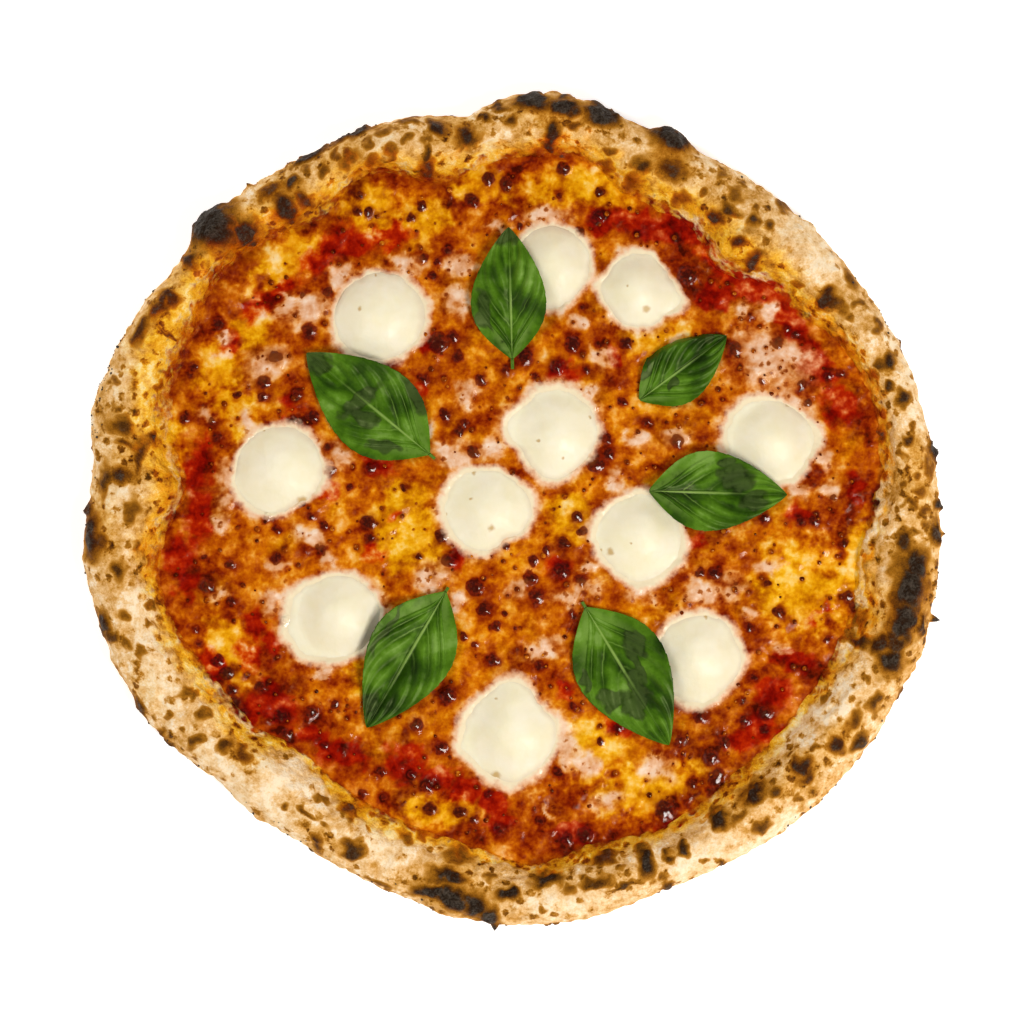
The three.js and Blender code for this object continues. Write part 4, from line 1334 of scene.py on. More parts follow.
SPOTS = [
    (3, 152, 1.8, 1.9), (5.2, 151.3, 1.5, 1.5), (8.3, 147, 1.5, 1.4), (1, 147.6, 1.8, 1.9),
    (0, 152.5, 1.2, 2.4), (358, 154.5, 2.2, 1.8), (357, 150, 1.8, 1.6), (355.5, 145.5, 2.4, 2.6),
    (6.5, 155.5, 4.4, 1.4), (12, 152.5, 1.4, 1.4), (13, 144.5, 1.3, 1.3), (4, 146, 1.5, 1.3),
    (21, 143.5, 2.6, 1.8), (27, 152.5, 2, 2), (31, 149.5, 1.2, 3.4), (34.5, 152.6, 4.4, 2),
    (14.5, 140.5, 1.9, 1.9), (22, 138.3, 1.4, 1.3), (25, 137, 1.8, 2.8), (28.5, 135.8, 1.6, 1.5),
    (34, 136.5, 2, 1.8), (30, 144, 2, 1.6), (38.5, 134.7, 2, 1.7), (51, 143.5, 2, 1.4),
    (55, 143.7, 2.8, 2.2), (54.5, 148, 1.9, 1.2), (58, 147, 2, 1.9), (48.2, 152.3, 2.6, 2),
    (61.5, 132, 3, 2.4), (70, 130.3, 2.8, 2.8), (75, 133, 2.6, 2.4), (86, 134, 3.6, 2.4),
    (74.5, 138, 2.6, 1.6), (105, 151, 4, 1.3), (109, 148.7, 4, 1.8), (111.5, 146.5, 2.2, 1.6),
    (115, 145, 5, 1.8), (119, 144.5, 2.4, 1.9), (108.5, 140.5, 2.6, 2.3), (111.5, 140.3, 3, 2.2),
    (103, 142, 2.6, 1.5), (106, 144, 2, 1.4), (116.5, 148, 1.8, 1.6), (122.5, 136, 1.8, 1.6),
    (121, 149, 1.6, 1.4), (141, 140, 1.8, 1.6), (160.7, 139.7, 1.9, 2), (158.5, 137.6, 1.5, 1.5),
    (162, 156.3, 1.8, 1.6), (165.5, 152, 1.8, 1.6), (180, 141.5, 4.6, 2.4),
    (185.5, 140.5, 1.8, 2.2), (188, 136.5, 1.6, 1.6), (191, 134.5, 1.5, 1.4),
    (194.5, 140.5, 2, 1.5), (197.5, 141.5, 2, 1.5), (195.5, 149, 2, 2.4), (200.5, 147.5, 3, 1.6),
    (199, 152, 1.6, 1.5), (210.5, 149, 1.5, 1.8), (213.5, 147.5, 1.4, 1.4), (209, 139, 2.6, 2.6),
    (210, 136.5, 1.4, 2.8), (213.5, 138, 2, 2.8), (235, 145, 2.1, 1.2), (232.5, 139, 1.4, 1.4),
    (239, 136, 2.6, 1.4), (236.5, 129.5, 2.8, 1.3), (250.5, 147.5, 5, 0.9), (252, 128.5, 2.8, 2),
    (254.5, 125.5, 2.2, 1.6), (266.5, 137, 2, 1.6), (261, 130.5, 5, 3.4), (274.5, 149.5, 2.2, 1.6),
    (278.5, 142.5, 2.2, 1.8), (289, 144.3, 2.8, 1.4), (281, 139, 1.6, 1.5), (306.5, 142, 4, 1.6),
    (322, 143.5, 1.6, 1.6), (329, 135, 2.2, 1.6), (332.5, 131.7, 1.6, 1.4), (342.5, 135, 3.4, 3.8),
    (350, 156, 3, 1.4), (335, 146, 2, 1.6), (315, 151, 1.8, 1.4), (287, 138, 1.6, 1.5),
    (299, 148.5, 1.5, 1.2), (59, 138, 1.5, 1.5),
]
GOLDEN_ZONES = [
    (222, 132, 11, 8, 0.8), (66, 143, 10, 9, 0.7), (344, 143, 14, 9, 0.7), (98, 143, 12, 9, 0.55),
    (127, 146, 12, 9, 0.7), (152, 150, 16, 7, 0.6), (182, 153, 16, 8, 0.6), (262, 133, 12, 8, 0.5),
    (285, 132, 16, 6, 0.6), (310, 134, 14, 7, 0.6), (5, 152, 22, 7, 0.5), (325, 148, 14, 7, 0.5),
    (84, 147, 20, 6, 0.65), (206, 152, 12, 7, 0.35), (116, 148, 14, 6, 0.5), (34, 140, 10, 7, 0.6),
    (240, 141, 12, 5, 0.35), (172, 144, 14, 10, 0.55), (348, 156, 22, 5, 0.5),
    (318, 144, 12, 8, 0.5),
]
FLOUR_ZONES = [
    (93, 133, 9, 4), (97.5, 127, 5, 5), (118, 139, 6, 3), (125, 131.5, 8, 3), (147, 144.5, 6, 5),
    (160, 143.5, 10, 3), (187, 130.5, 8, 1.5), (228.5, 133, 8, 7), (232, 124, 10, 5),
    (205, 146, 14, 7), (226, 145, 26, 5), (248, 135, 12, 6), (279, 148, 24, 6), (298, 148, 18, 7),
    (305, 154, 26, 5), (323, 134, 10, 4), (330, 139, 10, 5), (18, 156, 20, 4), (42, 148, 16, 7),
    (62, 150, 6, 4), (3, 139, 6, 3), (196, 143, 14, 5), (140, 147, 4, 3), (178, 147, 6, 4),
    (110, 144, 8, 4),
]
print(len(BURNS), "burns and", len(SPOTS), "spots on the rim")

# %% [markdown]
# Oil runs up the rim's inner slope and dyes it yellow to orange. How far it runs changes round
# the pizza: each row below is an angle, the reach in millimetres past the sauce's edge, and how
# orange the stain is.

# %% Oil on the inner slope
OIL = [
    (0, 6, 0.7), (6, 6, 0.9), (14, 5, 0.8), (24, 5, 0.8), (33, 8, 0.7), (41, 12, 0.35),
    (50, 20, 0.6), (58, 12, 0.4), (66, 9, 0.3), (74, 12, 0.7), (84, 7, 0.8), (92, 6, 0.7),
    (99, 8, 0.5), (108, 12, 0.6), (114, 6, 0.8), (120, 11, 0.4), (128, 11, 0.5), (134, 14, 0.6),
    (141, 14, 0.6), (148, 17, 0.4), (156, 20, 0.25), (163, 18, 0.25), (170, 15, 0.45),
    (177, 13, 0.65), (184, 11, 0.7), (190, 8, 0.5), (197, 5, 0.4), (204, 9, 0.3), (212, 9, 0.4),
    (220, 11, 0.6), (227, 2, 0.2), (235, 3, 0.2), (243, 10, 0.3), (250, 7, 0.4), (257, 4, 0.6),
    (264, 5, 0.6), (272, 3, 0.6), (281, 7, 0.4), (290, 4, 0.3), (298, 4, 0.7), (307, 7, 0.6),
    (315, 6, 0.5), (323, 2, 0.4), (331, 4, 0.6), (339, 10, 0.7), (346, 8, 0.7), (353, 7, 0.6),
]

# %% [markdown]
# In a few places a bubble in the dough stands right at the sauce, with a pale, crisp edge. Each
# row is the middle of such an edge as an angle, its half length in degrees, how far past the sauce
# it lies and its half width.

# %% Bubbles' edges at the sauce
CRESTS = [
    (171, 12, 3, 2.4), (350, 17, 2.8, 2.2), (51, 11, 3, 2.2), (215, 8, 2.6, 2),
]


def crests(angle, past, listed):
    """The field of edges that run along the sauce."""
    field = np.full(angle.shape, FIELD_FLOOR)
    for at_angle, half_length, offset, half_width in listed:
        ends = 1 - abs((angle - at_angle + 180) % 360 - 180) / half_length
        field = np.maximum(field, np.minimum(1 - abs(past - offset) / half_width, 3 * ends))
    return field


# %% [markdown]
# With its places written down, the rim gets its fields. Noise of a few sizes, felt on the skin
# itself, first pushes the places about, which makes the burns ragged. The outer side has many
# small spots at random, and how toasted the dough is changes slowly round the rim: a row of
# TOAST is an angle and a share.

# %% Fields of the rim
NOISE_SIZES = (14, 6, 3, 1.8)
MIDDLE_RADIUS = 150

# For the noise of a size, how far it pushes the patches about. The same noise turned by so many
# columns pushes them sideways.
RAGGEDNESS = {6: (2.2, 90), 3: (1.4, 60), 1.8: (0.5, 30)}

SIDE_SPOTS = 210
SIDE_SPOT_SIZES = (0.9, 3.2)
TOAST = [
    (0, 0.75), (10, 0.55), (20, 0.45), (30, 0.3), (42, 0.2), (52, 0.45), (62, 0.45), (72, 0.55),
    (84, 0.7), (95, 0.5), (105, 0.5), (115, 0.45), (124, 0.6), (134, 0.6), (145, 0.45),
    (158, 0.35), (168, 0.6), (178, 0.75), (188, 0.6), (198, 0.5), (208, 0.4), (218, 0.35),
    (228, 0.1), (238, 0.2), (248, 0.25), (258, 0.45), (268, 0.5), (278, 0.35), (288, 0.4),
    (298, 0.3), (308, 0.35), (318, 0.35), (328, 0.3), (338, 0.55), (350, 0.7),
]


def side_spots(seed):
    """Random spots below the widest line, in rows like those of the burns."""
    random = np.random.default_rng(seed)
    low, high = SIDE_SPOT_SIZES
    rows = []
    for _ in range(SIDE_SPOTS):
        angle = 360 * random.random()
        size = low + (high - low) * random.random() ** 2
        beyond = float(outside(angle)) + 2 + 16 * random.random()
        length = size * (1 + random.random())
        rows.append((angle, beyond, length, size, 0.55 + 0.4 * random.random()))
    return rows


def on_rim(angle, radius, height):
    turn = np.radians(angle)
    return np.stack([radius * np.cos(turn), radius * np.sin(turn), height], axis=-1)


rim_base = on_rim(rim_angle, rim_radius, rim_height)
widest = np.argmax(rim_radius, axis=0)
at_widest = np.take_along_axis(rim_length, widest[None], axis=0)
below = rim_length < at_widest
rim_reach = np.where(below, rim_radius.max(axis=0) + (at_widest - rim_length), rim_radius)

rim_noise = {}
for seed, size in enumerate(NOISE_SIZES, start=50):
    rim_noise[size] = lumps(rim_base.reshape(-1, 3), size, seed).reshape(rim_angle.shape)
pushed_reach, sideways_push = rim_reach, 0
for size, (push, turned) in RAGGEDNESS.items():
    pushed_reach = pushed_reach + push * rim_noise[size]
    sideways_push = sideways_push + push * np.roll(rim_noise[size], turned, axis=1)
pushed_angle = rim_angle + np.degrees(sideways_push / MIDDLE_RADIUS)

burn = rim_patches(pushed_angle, pushed_reach, BURNS + side_spots(9))
spot = rim_patches(pushed_angle, pushed_reach, SPOTS)
golden = rim_patches(pushed_angle, pushed_reach, GOLDEN_ZONES)
flour = rim_patches(pushed_angle, pushed_reach, FLOUR_ZONES)
past_sauce = pushed_reach - sauce_edge(rim_angle)
crest = crests(rim_angle, past_sauce, CRESTS)
oil = 1 - past_sauce / around(rim_angle, OIL)
orange = around(rim_angle, OIL, column=2)
toast = around(rim_angle, TOAST)
print("burnt share of the rim:", (burn > 0.3).mean().round(3))

# %% [markdown]
# The skin's relief is pushed out along its own normal: soft lumps, fine grain, a little swelling
# under each burn with a crackled top, and floury wrinkles along the palest stretch, listed as an
# angle and a strength.
#
# The thin nibs on the outside are shreds of dough that charred to a point. A nib's row is its
# angle, how far it sticks out and its width, and a steep bell curve in both directions draws it.
# All heights are millimetres.

# %% Push out the relief
WRINKLES = [
    (0, 0.2), (180, 0.1), (190, 0.3), (210, 1), (250, 1), (268, 0.4), (280, 0.5), (300, 0.6),
    (335, 0.5),
]
NIBS = [
    (345.6, 3.6, 2.2), (267.6, 2.2, 1.9), (0.5, 1.2, 2.6), (8, 1.4, 3.8), (23.5, 0.7, 2.6),
    (129, 0.9, 3), (357, 0.8, 2.4), (195.5, 0.7, 2), (180, 0.6, 2), (43, 0.5, 1.4),
    (121, 0.8, 1.6), (142.5, 0.7, 1.6),
]
OUTER_RADIUS = 157
NIB_HALF_HEIGHT = 1.6
WRINKLE_SIZE = (1.3, 16)
WRINKLE_RADIUS = 155
WRINKLE_HEIGHT = 0.16
BURN_SWELL, SPOT_SWELL, CREST_SWELL = 0.75, 0.3, 0.5


def skin_normals(points):
    """Outward normals of a grid of rows by columns, closed round the columns."""
    along = np.roll(points, -1, axis=1) - np.roll(points, 1, axis=1)
    up = np.gradient(points, axis=0)
    normal = np.cross(along, up)
    return normal / np.maximum(np.linalg.norm(normal, axis=2, keepdims=True), 1e-9)


def wrinkled():
    """Fine ridges along the rim: noise that is stretched in that direction."""
    across, along = WRINKLE_SIZE
    turn = np.radians(rim_angle)
    stretched = np.stack([rim_length / across, turn * WRINKLE_RADIUS / along, 0 * turn], axis=-1)
    return lumps(stretched.reshape(-1, 3), 1, 71).reshape(rim_angle.shape)


nibs = np.zeros(rim_angle.shape)
for at_angle, length, width in NIBS:
    beside = np.radians((rim_angle - at_angle + 180) % 360 - 180) * OUTER_RADIUS
    level = np.exp(-(((rim_length - at_widest) / NIB_HALF_HEIGHT) ** 2))
    nibs += length * level * np.exp(-((beside / (0.5 * width)) ** 2))
burn = np.maximum(burn, soft_step(nibs, 0.2, 1.0) * 2 - 1)
held = soft_step(rim_height, 0.3, 4)
under_sauce = 1 - soft_step(rim_reach, sauce_edge(rim_angle) - 1, sauce_edge(rim_angle) + 2)
crackle = soft_step(burn, 0.35, 0.7) * (0.3 * abs(rim_noise[1.8]) + 0.25 * rim_noise[3])
rim_push = 1.0 * rim_noise[14] + 1.3 * abs(rim_noise[6]) - 0.3
rim_push += 0.45 * rim_noise[3] + 0.16 * rim_noise[1.8] + crackle
rim_push += BURN_SWELL * soft_step(burn, 0.1, 0.8) + SPOT_SWELL * soft_step(spot, 0, 0.8)
rim_push += CREST_SWELL * soft_step(crest, 0, 1)
rim_push += WRINKLE_HEIGHT * around(rim_angle, WRINKLES) * wrinkled()
rim_push *= held * (1 - 0.6 * under_sauce)
rim_skin = rim_base + rim_push[..., None] * skin_normals(rim_base)
turn = np.radians(rim_angle)
rim_skin += (nibs * held)[..., None] * np.stack([np.cos(turn), np.sin(turn), 0 * turn], axis=-1)
rim_skin[..., 2] = np.maximum(rim_skin[..., 2], 0)
print("rim with its relief up to", rim_skin[..., 2].max().round(1), "mm high")

# %% [markdown]
# Baked dough is a matt cream that toasts through gold and brown to black, so here too the finish
# first works out how light each place is. Soft smudges lie thicker where the rim is toasted, and
# every burn has a browned ring, because the field of a burn runs on below zero around it. Flour
# whitens the dough, oil dyes it, and close to the sauce the colours of the sauce take over.

# %% Finish of the crust
CRUST_TINT = (1, 0.75, 0.4, 1)
DOUGH = [
    (0.0, 0.13, 0.06, 0.02), (0.12, 0.22, 0.10, 0.02), (0.2, 0.33, 0.19, 0.03),
    (0.3, 0.47, 0.28, 0.04), (0.4, 0.60, 0.38, 0.07), (0.5, 0.71, 0.48, 0.16),
    (0.6, 0.80, 0.58, 0.27), (0.7, 0.88, 0.68, 0.42), (0.8, 0.94, 0.78, 0.56),
    (0.93, 0.99, 0.91, 0.79),
]
AMBER_DOUGH = [
    (0.15, 0.40, 0.14, 0.005), (0.3, 0.57, 0.27, 0.01), (0.4, 0.69, 0.38, 0.02),
    (0.5, 0.80, 0.49, 0.03), (0.6, 0.88, 0.60, 0.04), (0.7, 0.94, 0.69, 0.12),
    (0.8, 0.97, 0.78, 0.30), (0.92, 0.98, 0.88, 0.60),
]
ORANGE_DOUGH = [
    (0.15, 0.38, 0.08, 0.003), (0.35, 0.65, 0.26, 0.005), (0.55, 0.87, 0.46, 0.015),
    (0.75, 0.94, 0.61, 0.08), (0.92, 0.97, 0.80, 0.48),
]


def smudges(look, small, fine, middle):
    """Soft smudges and smaller dots, thicker where the rim is toasted, burnt or golden."""
    crowd = 0.7 * look.kept("toast") + 0.4 * look.kept("burn").rise(-1.0, -0.1)
    crowd = crowd + 0.35 * look.kept("golden").rise(-0.3, 0.5)
    found, random = look.cells(7, seed=16)
    smudge = 1 - (found + 0.25 * small + 0.12 * fine).rise(0.04, 0.4)
    smudge = smudge * (random + crowd + 0.4 * middle).rise(0.65, 1.05)
    found, random = look.cells(4.6, seed=17)
    dots = 1 - (found + 0.3 * small + 0.12 * fine).rise(0.22, 0.42)
    return smudge.at_least(dots * (random + crowd + 0.8 * middle).rise(0.75, 1.15))


def toasted_lightness(look, small, fine, middle, burn):
    """How light the dough is, where 0 is charred and 1 is white."""
    spot = look.kept("spot") + 0.35 * small + 0.15 * fine
    flour = (look.kept("flour") + 0.7 * middle + 0.4 * small).rise(-0.3, 0.9)
    smudge = smudges(look, small, fine, middle)
    grain = look.cloud(0.5, detail=1, seed=19)
    texture = 0.26 * small + 0.18 * fine + 0.08 * grain
    clouds = 0.2 * look.cloud(18, detail=2, seed=11) + 0.26 * middle + texture
    light = 0.76 - 0.08 * look.kept("toast") + clouds + 0.07 * flour - 0.36 * smudge
    light = light - 0.1 * look.kept("golden").at_least(0)
    light = light + 0.15 * look.kept("crest").rise(-0.2, 0.8)
    oily = look.kept("oil").rise(-0.5, 0.5)
    light = light - 0.02 * oily + 0.4 * oily * look.cloud(8, detail=2, distortion=0.4, seed=21)
    light = blend(0.85 * spot.rise(-0.35, 0.3), light, 0.46 - 0.22 * spot + 0.5 * texture)
    return blend(burn.rise(-0.4, 0.05), light, 0.44 - 0.35 * burn.at_least(0) + texture)


def crust_finish():
    look = Finish("baked_dough")
    topping = Topping(look, cheese=False)
    middle = look.cloud(7, detail=2, roughness=0.5, distortion=0.3, seed=12)
    small = look.cloud(2.8, detail=2, roughness=0.5, distortion=0.15, seed=13)
    fine = look.cloud(0.9, detail=2, roughness=0.6, seed=14)
    burn = look.kept("burn") + 0.4 * small + 0.25 * fine
    light = toasted_lightness(look, small, fine, middle, burn)
    floured = 0.35 * (look.kept("flour") + 0.7 * middle).rise(-0.2, 0.8) * light.rise(0.5, 0.8)
    surface = look.mix(floured, look.ramp(light, DOUGH), colour(0.96, 0.86, 0.70))

    stain = look.kept("oil") + 0.6 * middle + 0.4 * small + 0.12 * fine
    stain = stain - 0.6 * look.kept("crest").rise(0.0, 0.6)
    orange = (look.kept("orange") + 0.8 * middle + 0.3 * stain).rise(0.5, 1.25)
    dye = look.mix(orange, look.ramp(light, AMBER_DOUGH), look.ramp(light, ORANGE_DOUGH))
    dyed = (stain.rise(-0.25, 0.45) + 0.4 * look.kept("golden").at_least(0)).at_most(1)
    surface = look.mix(0.95 * dyed, surface, dye)

    near = (look.kept("oil") + 0.5 * small + 0.3 * middle).rise(0.5, 0.95)
    sauce_colour = topping.coloured(topping.blistered(topping.plain()))
    surface = look.mix(near, surface, sauce_colour)

    # The grey in the char is partly ash and partly a painted sheen on its crackled black crust.
    ash_and_sheen = 0.3 + 1.0 * small + 1.2 * fine
    soot_and_sheen = look.mix(ash_and_sheen, colour(0.06, 0.045, 0.035), colour(0.30, 0.27, 0.24))
    surface = look.mix(0.85 * burn.rise(0.6, 1.05), surface, soot_and_sheen)
    height = 0.5 + 0.4 * small + 0.45 * fine + 0.2 * look.cloud(0.5, detail=1, seed=19)
    height = height + 0.8 * burn.rise(0.5, 1.0) * fine
    return look.done(
        Base_Color=surface,
        Roughness=0.72 - 0.45 * stain.rise(0.1, 0.8) - 0.2 * burn.rise(0.6, 1.0),
        Normal=look.bump(height, 0.5),
        Specular_IOR_Level=0.15,
        Specular_Tint=CRUST_TINT,
    )


# %% The fine skin of the crust
BASE_RINGS = (0.85, 0.6, 0.3)
HIDDEN_RING = 0.97
UNDER_SAUCE = 2.6


def level_ring(ring, share, height):
    """A ring drawn in to a share of its size, at one height."""
    return np.stack([share * ring[:, 0], share * ring[:, 1], 0 * ring[:, 2] + height], axis=1)


def crust_mesh():
    """Rim, underside and the hidden floor under the sauce as one closed skin."""
    rows = list(rim_skin)
    under = [level_ring(rows[0], share, 0) for share in BASE_RINGS]
    rows = under[::-1] + rows + [level_ring(rows[-1], HIDDEN_RING, UNDER_SAUCE)]
    points = np.concatenate(rows + [np.array([[0, 0, 0], [0, 0, UNDER_SAUCE]])])
    faces = ring_quads(len(rows), RIM_COLUMNS).tolist()
    first = np.arange(RIM_COLUMNS)
    beside = np.roll(first, -1)
    last = first + (len(rows) - 1) * RIM_COLUMNS
    bottom = np.full(RIM_COLUMNS, len(points) - 2)
    faces += np.stack([bottom, beside, first], axis=-1).tolist()
    faces += np.stack([bottom + 1, last, np.roll(last, -1)], axis=-1).tolist()
    return points, faces


def on_crust(field):
    """A field of the rim's grid, filled out for the rings and middles that close the skin."""
    edge = np.full(len(BASE_RINGS) * RIM_COLUMNS, FIELD_FLOOR)
    return np.concatenate([edge, field.ravel(), np.full(RIM_COLUMNS + 2, FIELD_FLOOR)])


points, faces = crust_mesh()
near_sauce = sauce_fields(rim_skin[..., 0], rim_skin[..., 1])
fields = {name: near_sauce[name] for name in ("tomato", "gold", "blister", "speckle", "near_edge")}
fields |= {"burn": burn, "spot": spot, "golden": golden, "flour": flour, "crest": crest}
fields |= {"oil": oil, "orange": orange, "toast": toast}
kept = {name: on_crust(np.maximum(field, FIELD_FLOOR)) for name, field in fields.items()}
crust = piece("crust_skin", points, faces, crust_finish(), kept)
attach(crust, "root")
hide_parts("crust")

# %% [markdown]
# Where the rim bulges over its outer edge, shreds and crumbs of burnt flour cling to it. They are
# beads too. Each stretch below is its first and last angle and the number of its crumbs, which
# scatter upwards from the widest line.

# %% Charred crumbs
CRUMB_STRETCHES = [
    (148, 170, 60), (108, 128, 24), (300, 335, 26), (205, 262, 34), (340, 372, 26), (20, 60, 14),
    (175, 200, 16),
]
CRUMB_SIZES = (0.2, 0.6)
CRUMB_SCATTER = 5


def crumbs_on_rim(seed):
    """Rows of x, y, z and radius for crumbs on the rim's upper and outer side."""
    random = np.random.default_rng(seed)
    low, high = CRUMB_SIZES
    rows = []
    for start, end, count in CRUMB_STRETCHES:
        for _ in range(count):
            angle = start + (end - start) * random.random()
            column = round(angle * RIM_COLUMNS / 360) % RIM_COLUMNS
            above = abs(random.normal(0, CRUMB_SCATTER))
            row = min(int(widest[column] + above), RIM_ROWS - 1)
            size = low + (high - low) * random.random() ** 2
            rows.append((*rim_skin[row, column].tolist(), size))
    return rows


def char_finish():
    look = Finish("charred_crumbs")
    small = look.cloud(0.8, seed=3)
    surface = look.mix(0.4 + 0.8 * small, colour(0.09, 0.06, 0.03), colour(0.30, 0.19, 0.07))
    return look.done(Base_Color=surface, Roughness=0.7)


crumbs = beads("charred_crumbs", crumbs_on_rim(21), char_finish(), flatness=0.8, roughness=0.5)
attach(crumbs, "root")

# %% [markdown]
# ## Mozzarella: the domes
#
# Each dome is a pressed grid like the sauce's. Its height is a low dome over a thin skirt, and
# the skirt's edge dips just under the sauce, so that it looks melted on rather than laid on.
# Soft cheese gives way under a leaf, so the dome is dented there and a little way round it.

# %% Domes
DOME_CELLS = 92
DOME_HEIGHT = 5.9
DOME_SPREAD = 1.14
DOME_SOFTNESS = 0.8
SKIRT_LIFT = 0.35
SKIRT_THICKNESS = 0.95
SKIRT_POWER = 1.3
SKIRT_DIP = 0.55
DENT_SPREAD = 5
DENT_DEPTH = 1.5
STAINS = [
    (-57, 75.5, 0.8), (50, 75.3, 1.2), (9.6, 26.2, 0.6), (18.8, 19.7, 0.5), (-7.8, -6.4, 1.2),
    (-15.6, 4.4, 0.6), (-14.5, 14.2, 0.8), (36.5, -15.4, 1.3), (32.8, -14.8, 0.7),
    (-6.2, -98.8, 1.5), (-78.6, 3.8, 1.6), (-0.6, -13, 1.4), (-51, 88, 0.5), (43, 84, 0.4),
    (29, 35, 0.5), (90, 43, 0.7), (103, 40, 0.9), (-60, -23, 0.6), (72, -39.5, 0.7),
    (-6, -70, 0.5), (-5, -64, 0.6), (85, -48, 0.8), (-25, -1, 0.7), (44, -12, 0.4), (-93, 30, 0.5),
]


def dome_points(form, number):
    share, angle = disc_grid(DOME_CELLS)
    radius = share * form.reach(angle)
    x = (form.x + radius * np.cos(np.radians(angle))).ravel()
    y = (form.y + radius * np.sin(np.radians(angle))).ravel()
    share = share.ravel()
    out = form.out_of_dome(x, y)
    out += 0.05 * lumps_flat(x, y, 9, 70 + number)
    dome = np.maximum(0, 1 - (out / DOME_SPREAD) ** 2) ** (DOME_SOFTNESS + form.roundness)
    fold = 0.55 * lumps_flat(x, y, 13, 80 + number) + 0.22 * lumps_flat(x, y, 5, 90 + number)
    skirt = SKIRT_THICKNESS * (1 - share**4) ** SKIRT_POWER - SKIRT_DIP
    z = sauce_level.at(x, y) + SKIRT_LIFT + skirt + DOME_HEIGHT * dome
    z += fold * (1 - share**6) * (0.35 + 0.65 * soft_step(dome, 0, 0.5))
    drop = z - pressed(x, y, z)
    around_leaf = blur(drop.reshape(DOME_CELLS + 1, -1), (DENT_SPREAD, DENT_SPREAD)).ravel()
    z -= np.maximum(drop, DENT_DEPTH * around_leaf)
    rough_x, rough_y = pushed(x, y, 1.6, 0.5, 19)
    fields = {"melt": sauce_fields(x, y)["melt"], "stain": patches(rough_x, rough_y, STAINS)}
    return np.stack([x, y, z], axis=1), fields


# %% [markdown]
# Its finish is a moist cream. On the thin skirt it turns duller and darker, partly as thinner
# cheese and partly as painted shade that keeps the skirt from looking brighter than the dome.
# Towards the thin edge it takes on the same run-out colours as the sauce beside it, from the same
# clouds, so that no line shows where one mesh ends. A few specks are stained by the sauce. Light
# sinks a little way into cheese, so the shader lets it in.

# %% Finish of the mozzarella
def mozzarella_finish():
    look = Finish("mozzarella")
    wide = look.cloud(9, detail=2, seed=5)
    small = look.cloud(3, detail=3, seed=7)
    fine = look.cloud(1.2, detail=3, seed=6)
    cloudy = 0.5 + 0.9 * wide + 0.3 * small
    cream = look.mix(cloudy, colour(0.962, 0.934, 0.845), colour(0.94, 0.905, 0.765))
    # Duller and darker on the skirt: partly thinner cheese, partly painted shade that tones down
    # the skirt's brighter light.
    cream = look.mix(look.kept("melt").rise(1.0, 2.0), colour(0.89, 0.83, 0.72), cream)
    surface = melted(look, colour(0.93, 0.70, 0.42), cream)
    stain = (look.kept("stain") + 0.3 * fine).rise(-0.6, 0.6)
    surface = look.mix(0.7 * stain, surface, colour(0.72, 0.54, 0.10))
    return look.done(
        Base_Color=surface,
        Roughness=0.42 + 0.1 * wide,
        Normal=look.bump(0.5 + 0.4 * small + 0.25 * fine, 0.14),
        Specular_IOR_Level=0.28,
        Subsurface_Weight=0.2,
        Subsurface_Radius=(1.0, 0.8, 0.6),
        Subsurface_Scale=0.002,
    )


mozzarella_look = mozzarella_finish()
for number, form in enumerate(mozzarella_pieces, start=1):
    top, fields = dome_points(form, number)
    floor_height = float(top[:, 2].min()) - 0.4
    points, faces = closed_disc(top, DOME_CELLS, floor_height, (form.x, form.y, floor_height))
    spare = len(points) - len(top)
    under = np.full(spare, FIELD_FLOOR)
    fields = {name: np.append(field, under) for name, field in fields.items()}
    dome = piece(f"mozzarella_dome_{number}", points, faces, mozzarella_look, fields)
    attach(dome, "root")
    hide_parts(f"mozzarella_{number}")

# %% [markdown]
# ## Basil
#
# A basil leaf follows a rule: a pointed oval, a midrib, and side veins that leave it at a slant
# and curve towards the tip, with the blade puffed up between them. So one tree of Geometry Nodes
# makes any leaf from its base, tip and width. It lays a grid over the frame's thin leaf with
# rays, evens out the facets, puffs the blade, and gives it a thickness that ends at the margin.
#
# Where each point is along and across the leaf is stored on it, and the finish draws the veins
# from that, so they come out finer than the mesh.

# %% Outline of a leaf
LEAF_WIDEST = 0.8
LEAF_FULLNESS = 0.85
BASE_TAPER = 0.35
TOOTH_DEPTH = 0.016
TEETH = 13
STALK_HALF_WIDTH = 0.6


def leaf_outline(tree, along, across):
    """How far along the blade each point is, how full the leaf is there, and its half width."""
    stalk = tree.input("Stalk")
    blade = ((along - stalk) / (1 - stalk)).at_least(0)
    belly = (math.pi * blade**LEAF_WIDEST).sine().at_least(0)
    left_half = tree.node("ShaderNodeMath", {"operation": "GREATER_THAN"}, {0: across, 1: 0})
    side = left_half * tree.input("Left") + (1 - left_half) * tree.input("Right")
    sideways = across.size()
    tooth = (TEETH * blade + 0.3 * sideways + 0.37 * tree.input("Seed")).fraction()
    teeth = 1 - TOOTH_DEPTH * tooth * sideways**5
    stalk_width = STALK_HALF_WIDTH * MM * (1 - (9 * (along - stalk)).at_least(0).at_most(1))
    fullness = LEAF_FULLNESS + BASE_TAPER * (1 - blade) ** 2
    return blade, belly, side * belly**fullness * teeth + stalk_width


# %% Heights of a leaf
VEIN_SLANT = 0.5
VEIN_BEND = 1.3
VEIN_COUNT = 5.5
VEIN_CROWDING = 0.72
PILLOW_HEIGHT = 1.1
PILLOW_ROUND = 2
GROOVE_DEPTH = 0.9
RIB_HEIGHT = 0.45
UNDULATION = 3.2
UNDULATION_SCALE = 85
FELT_STEPS = 44


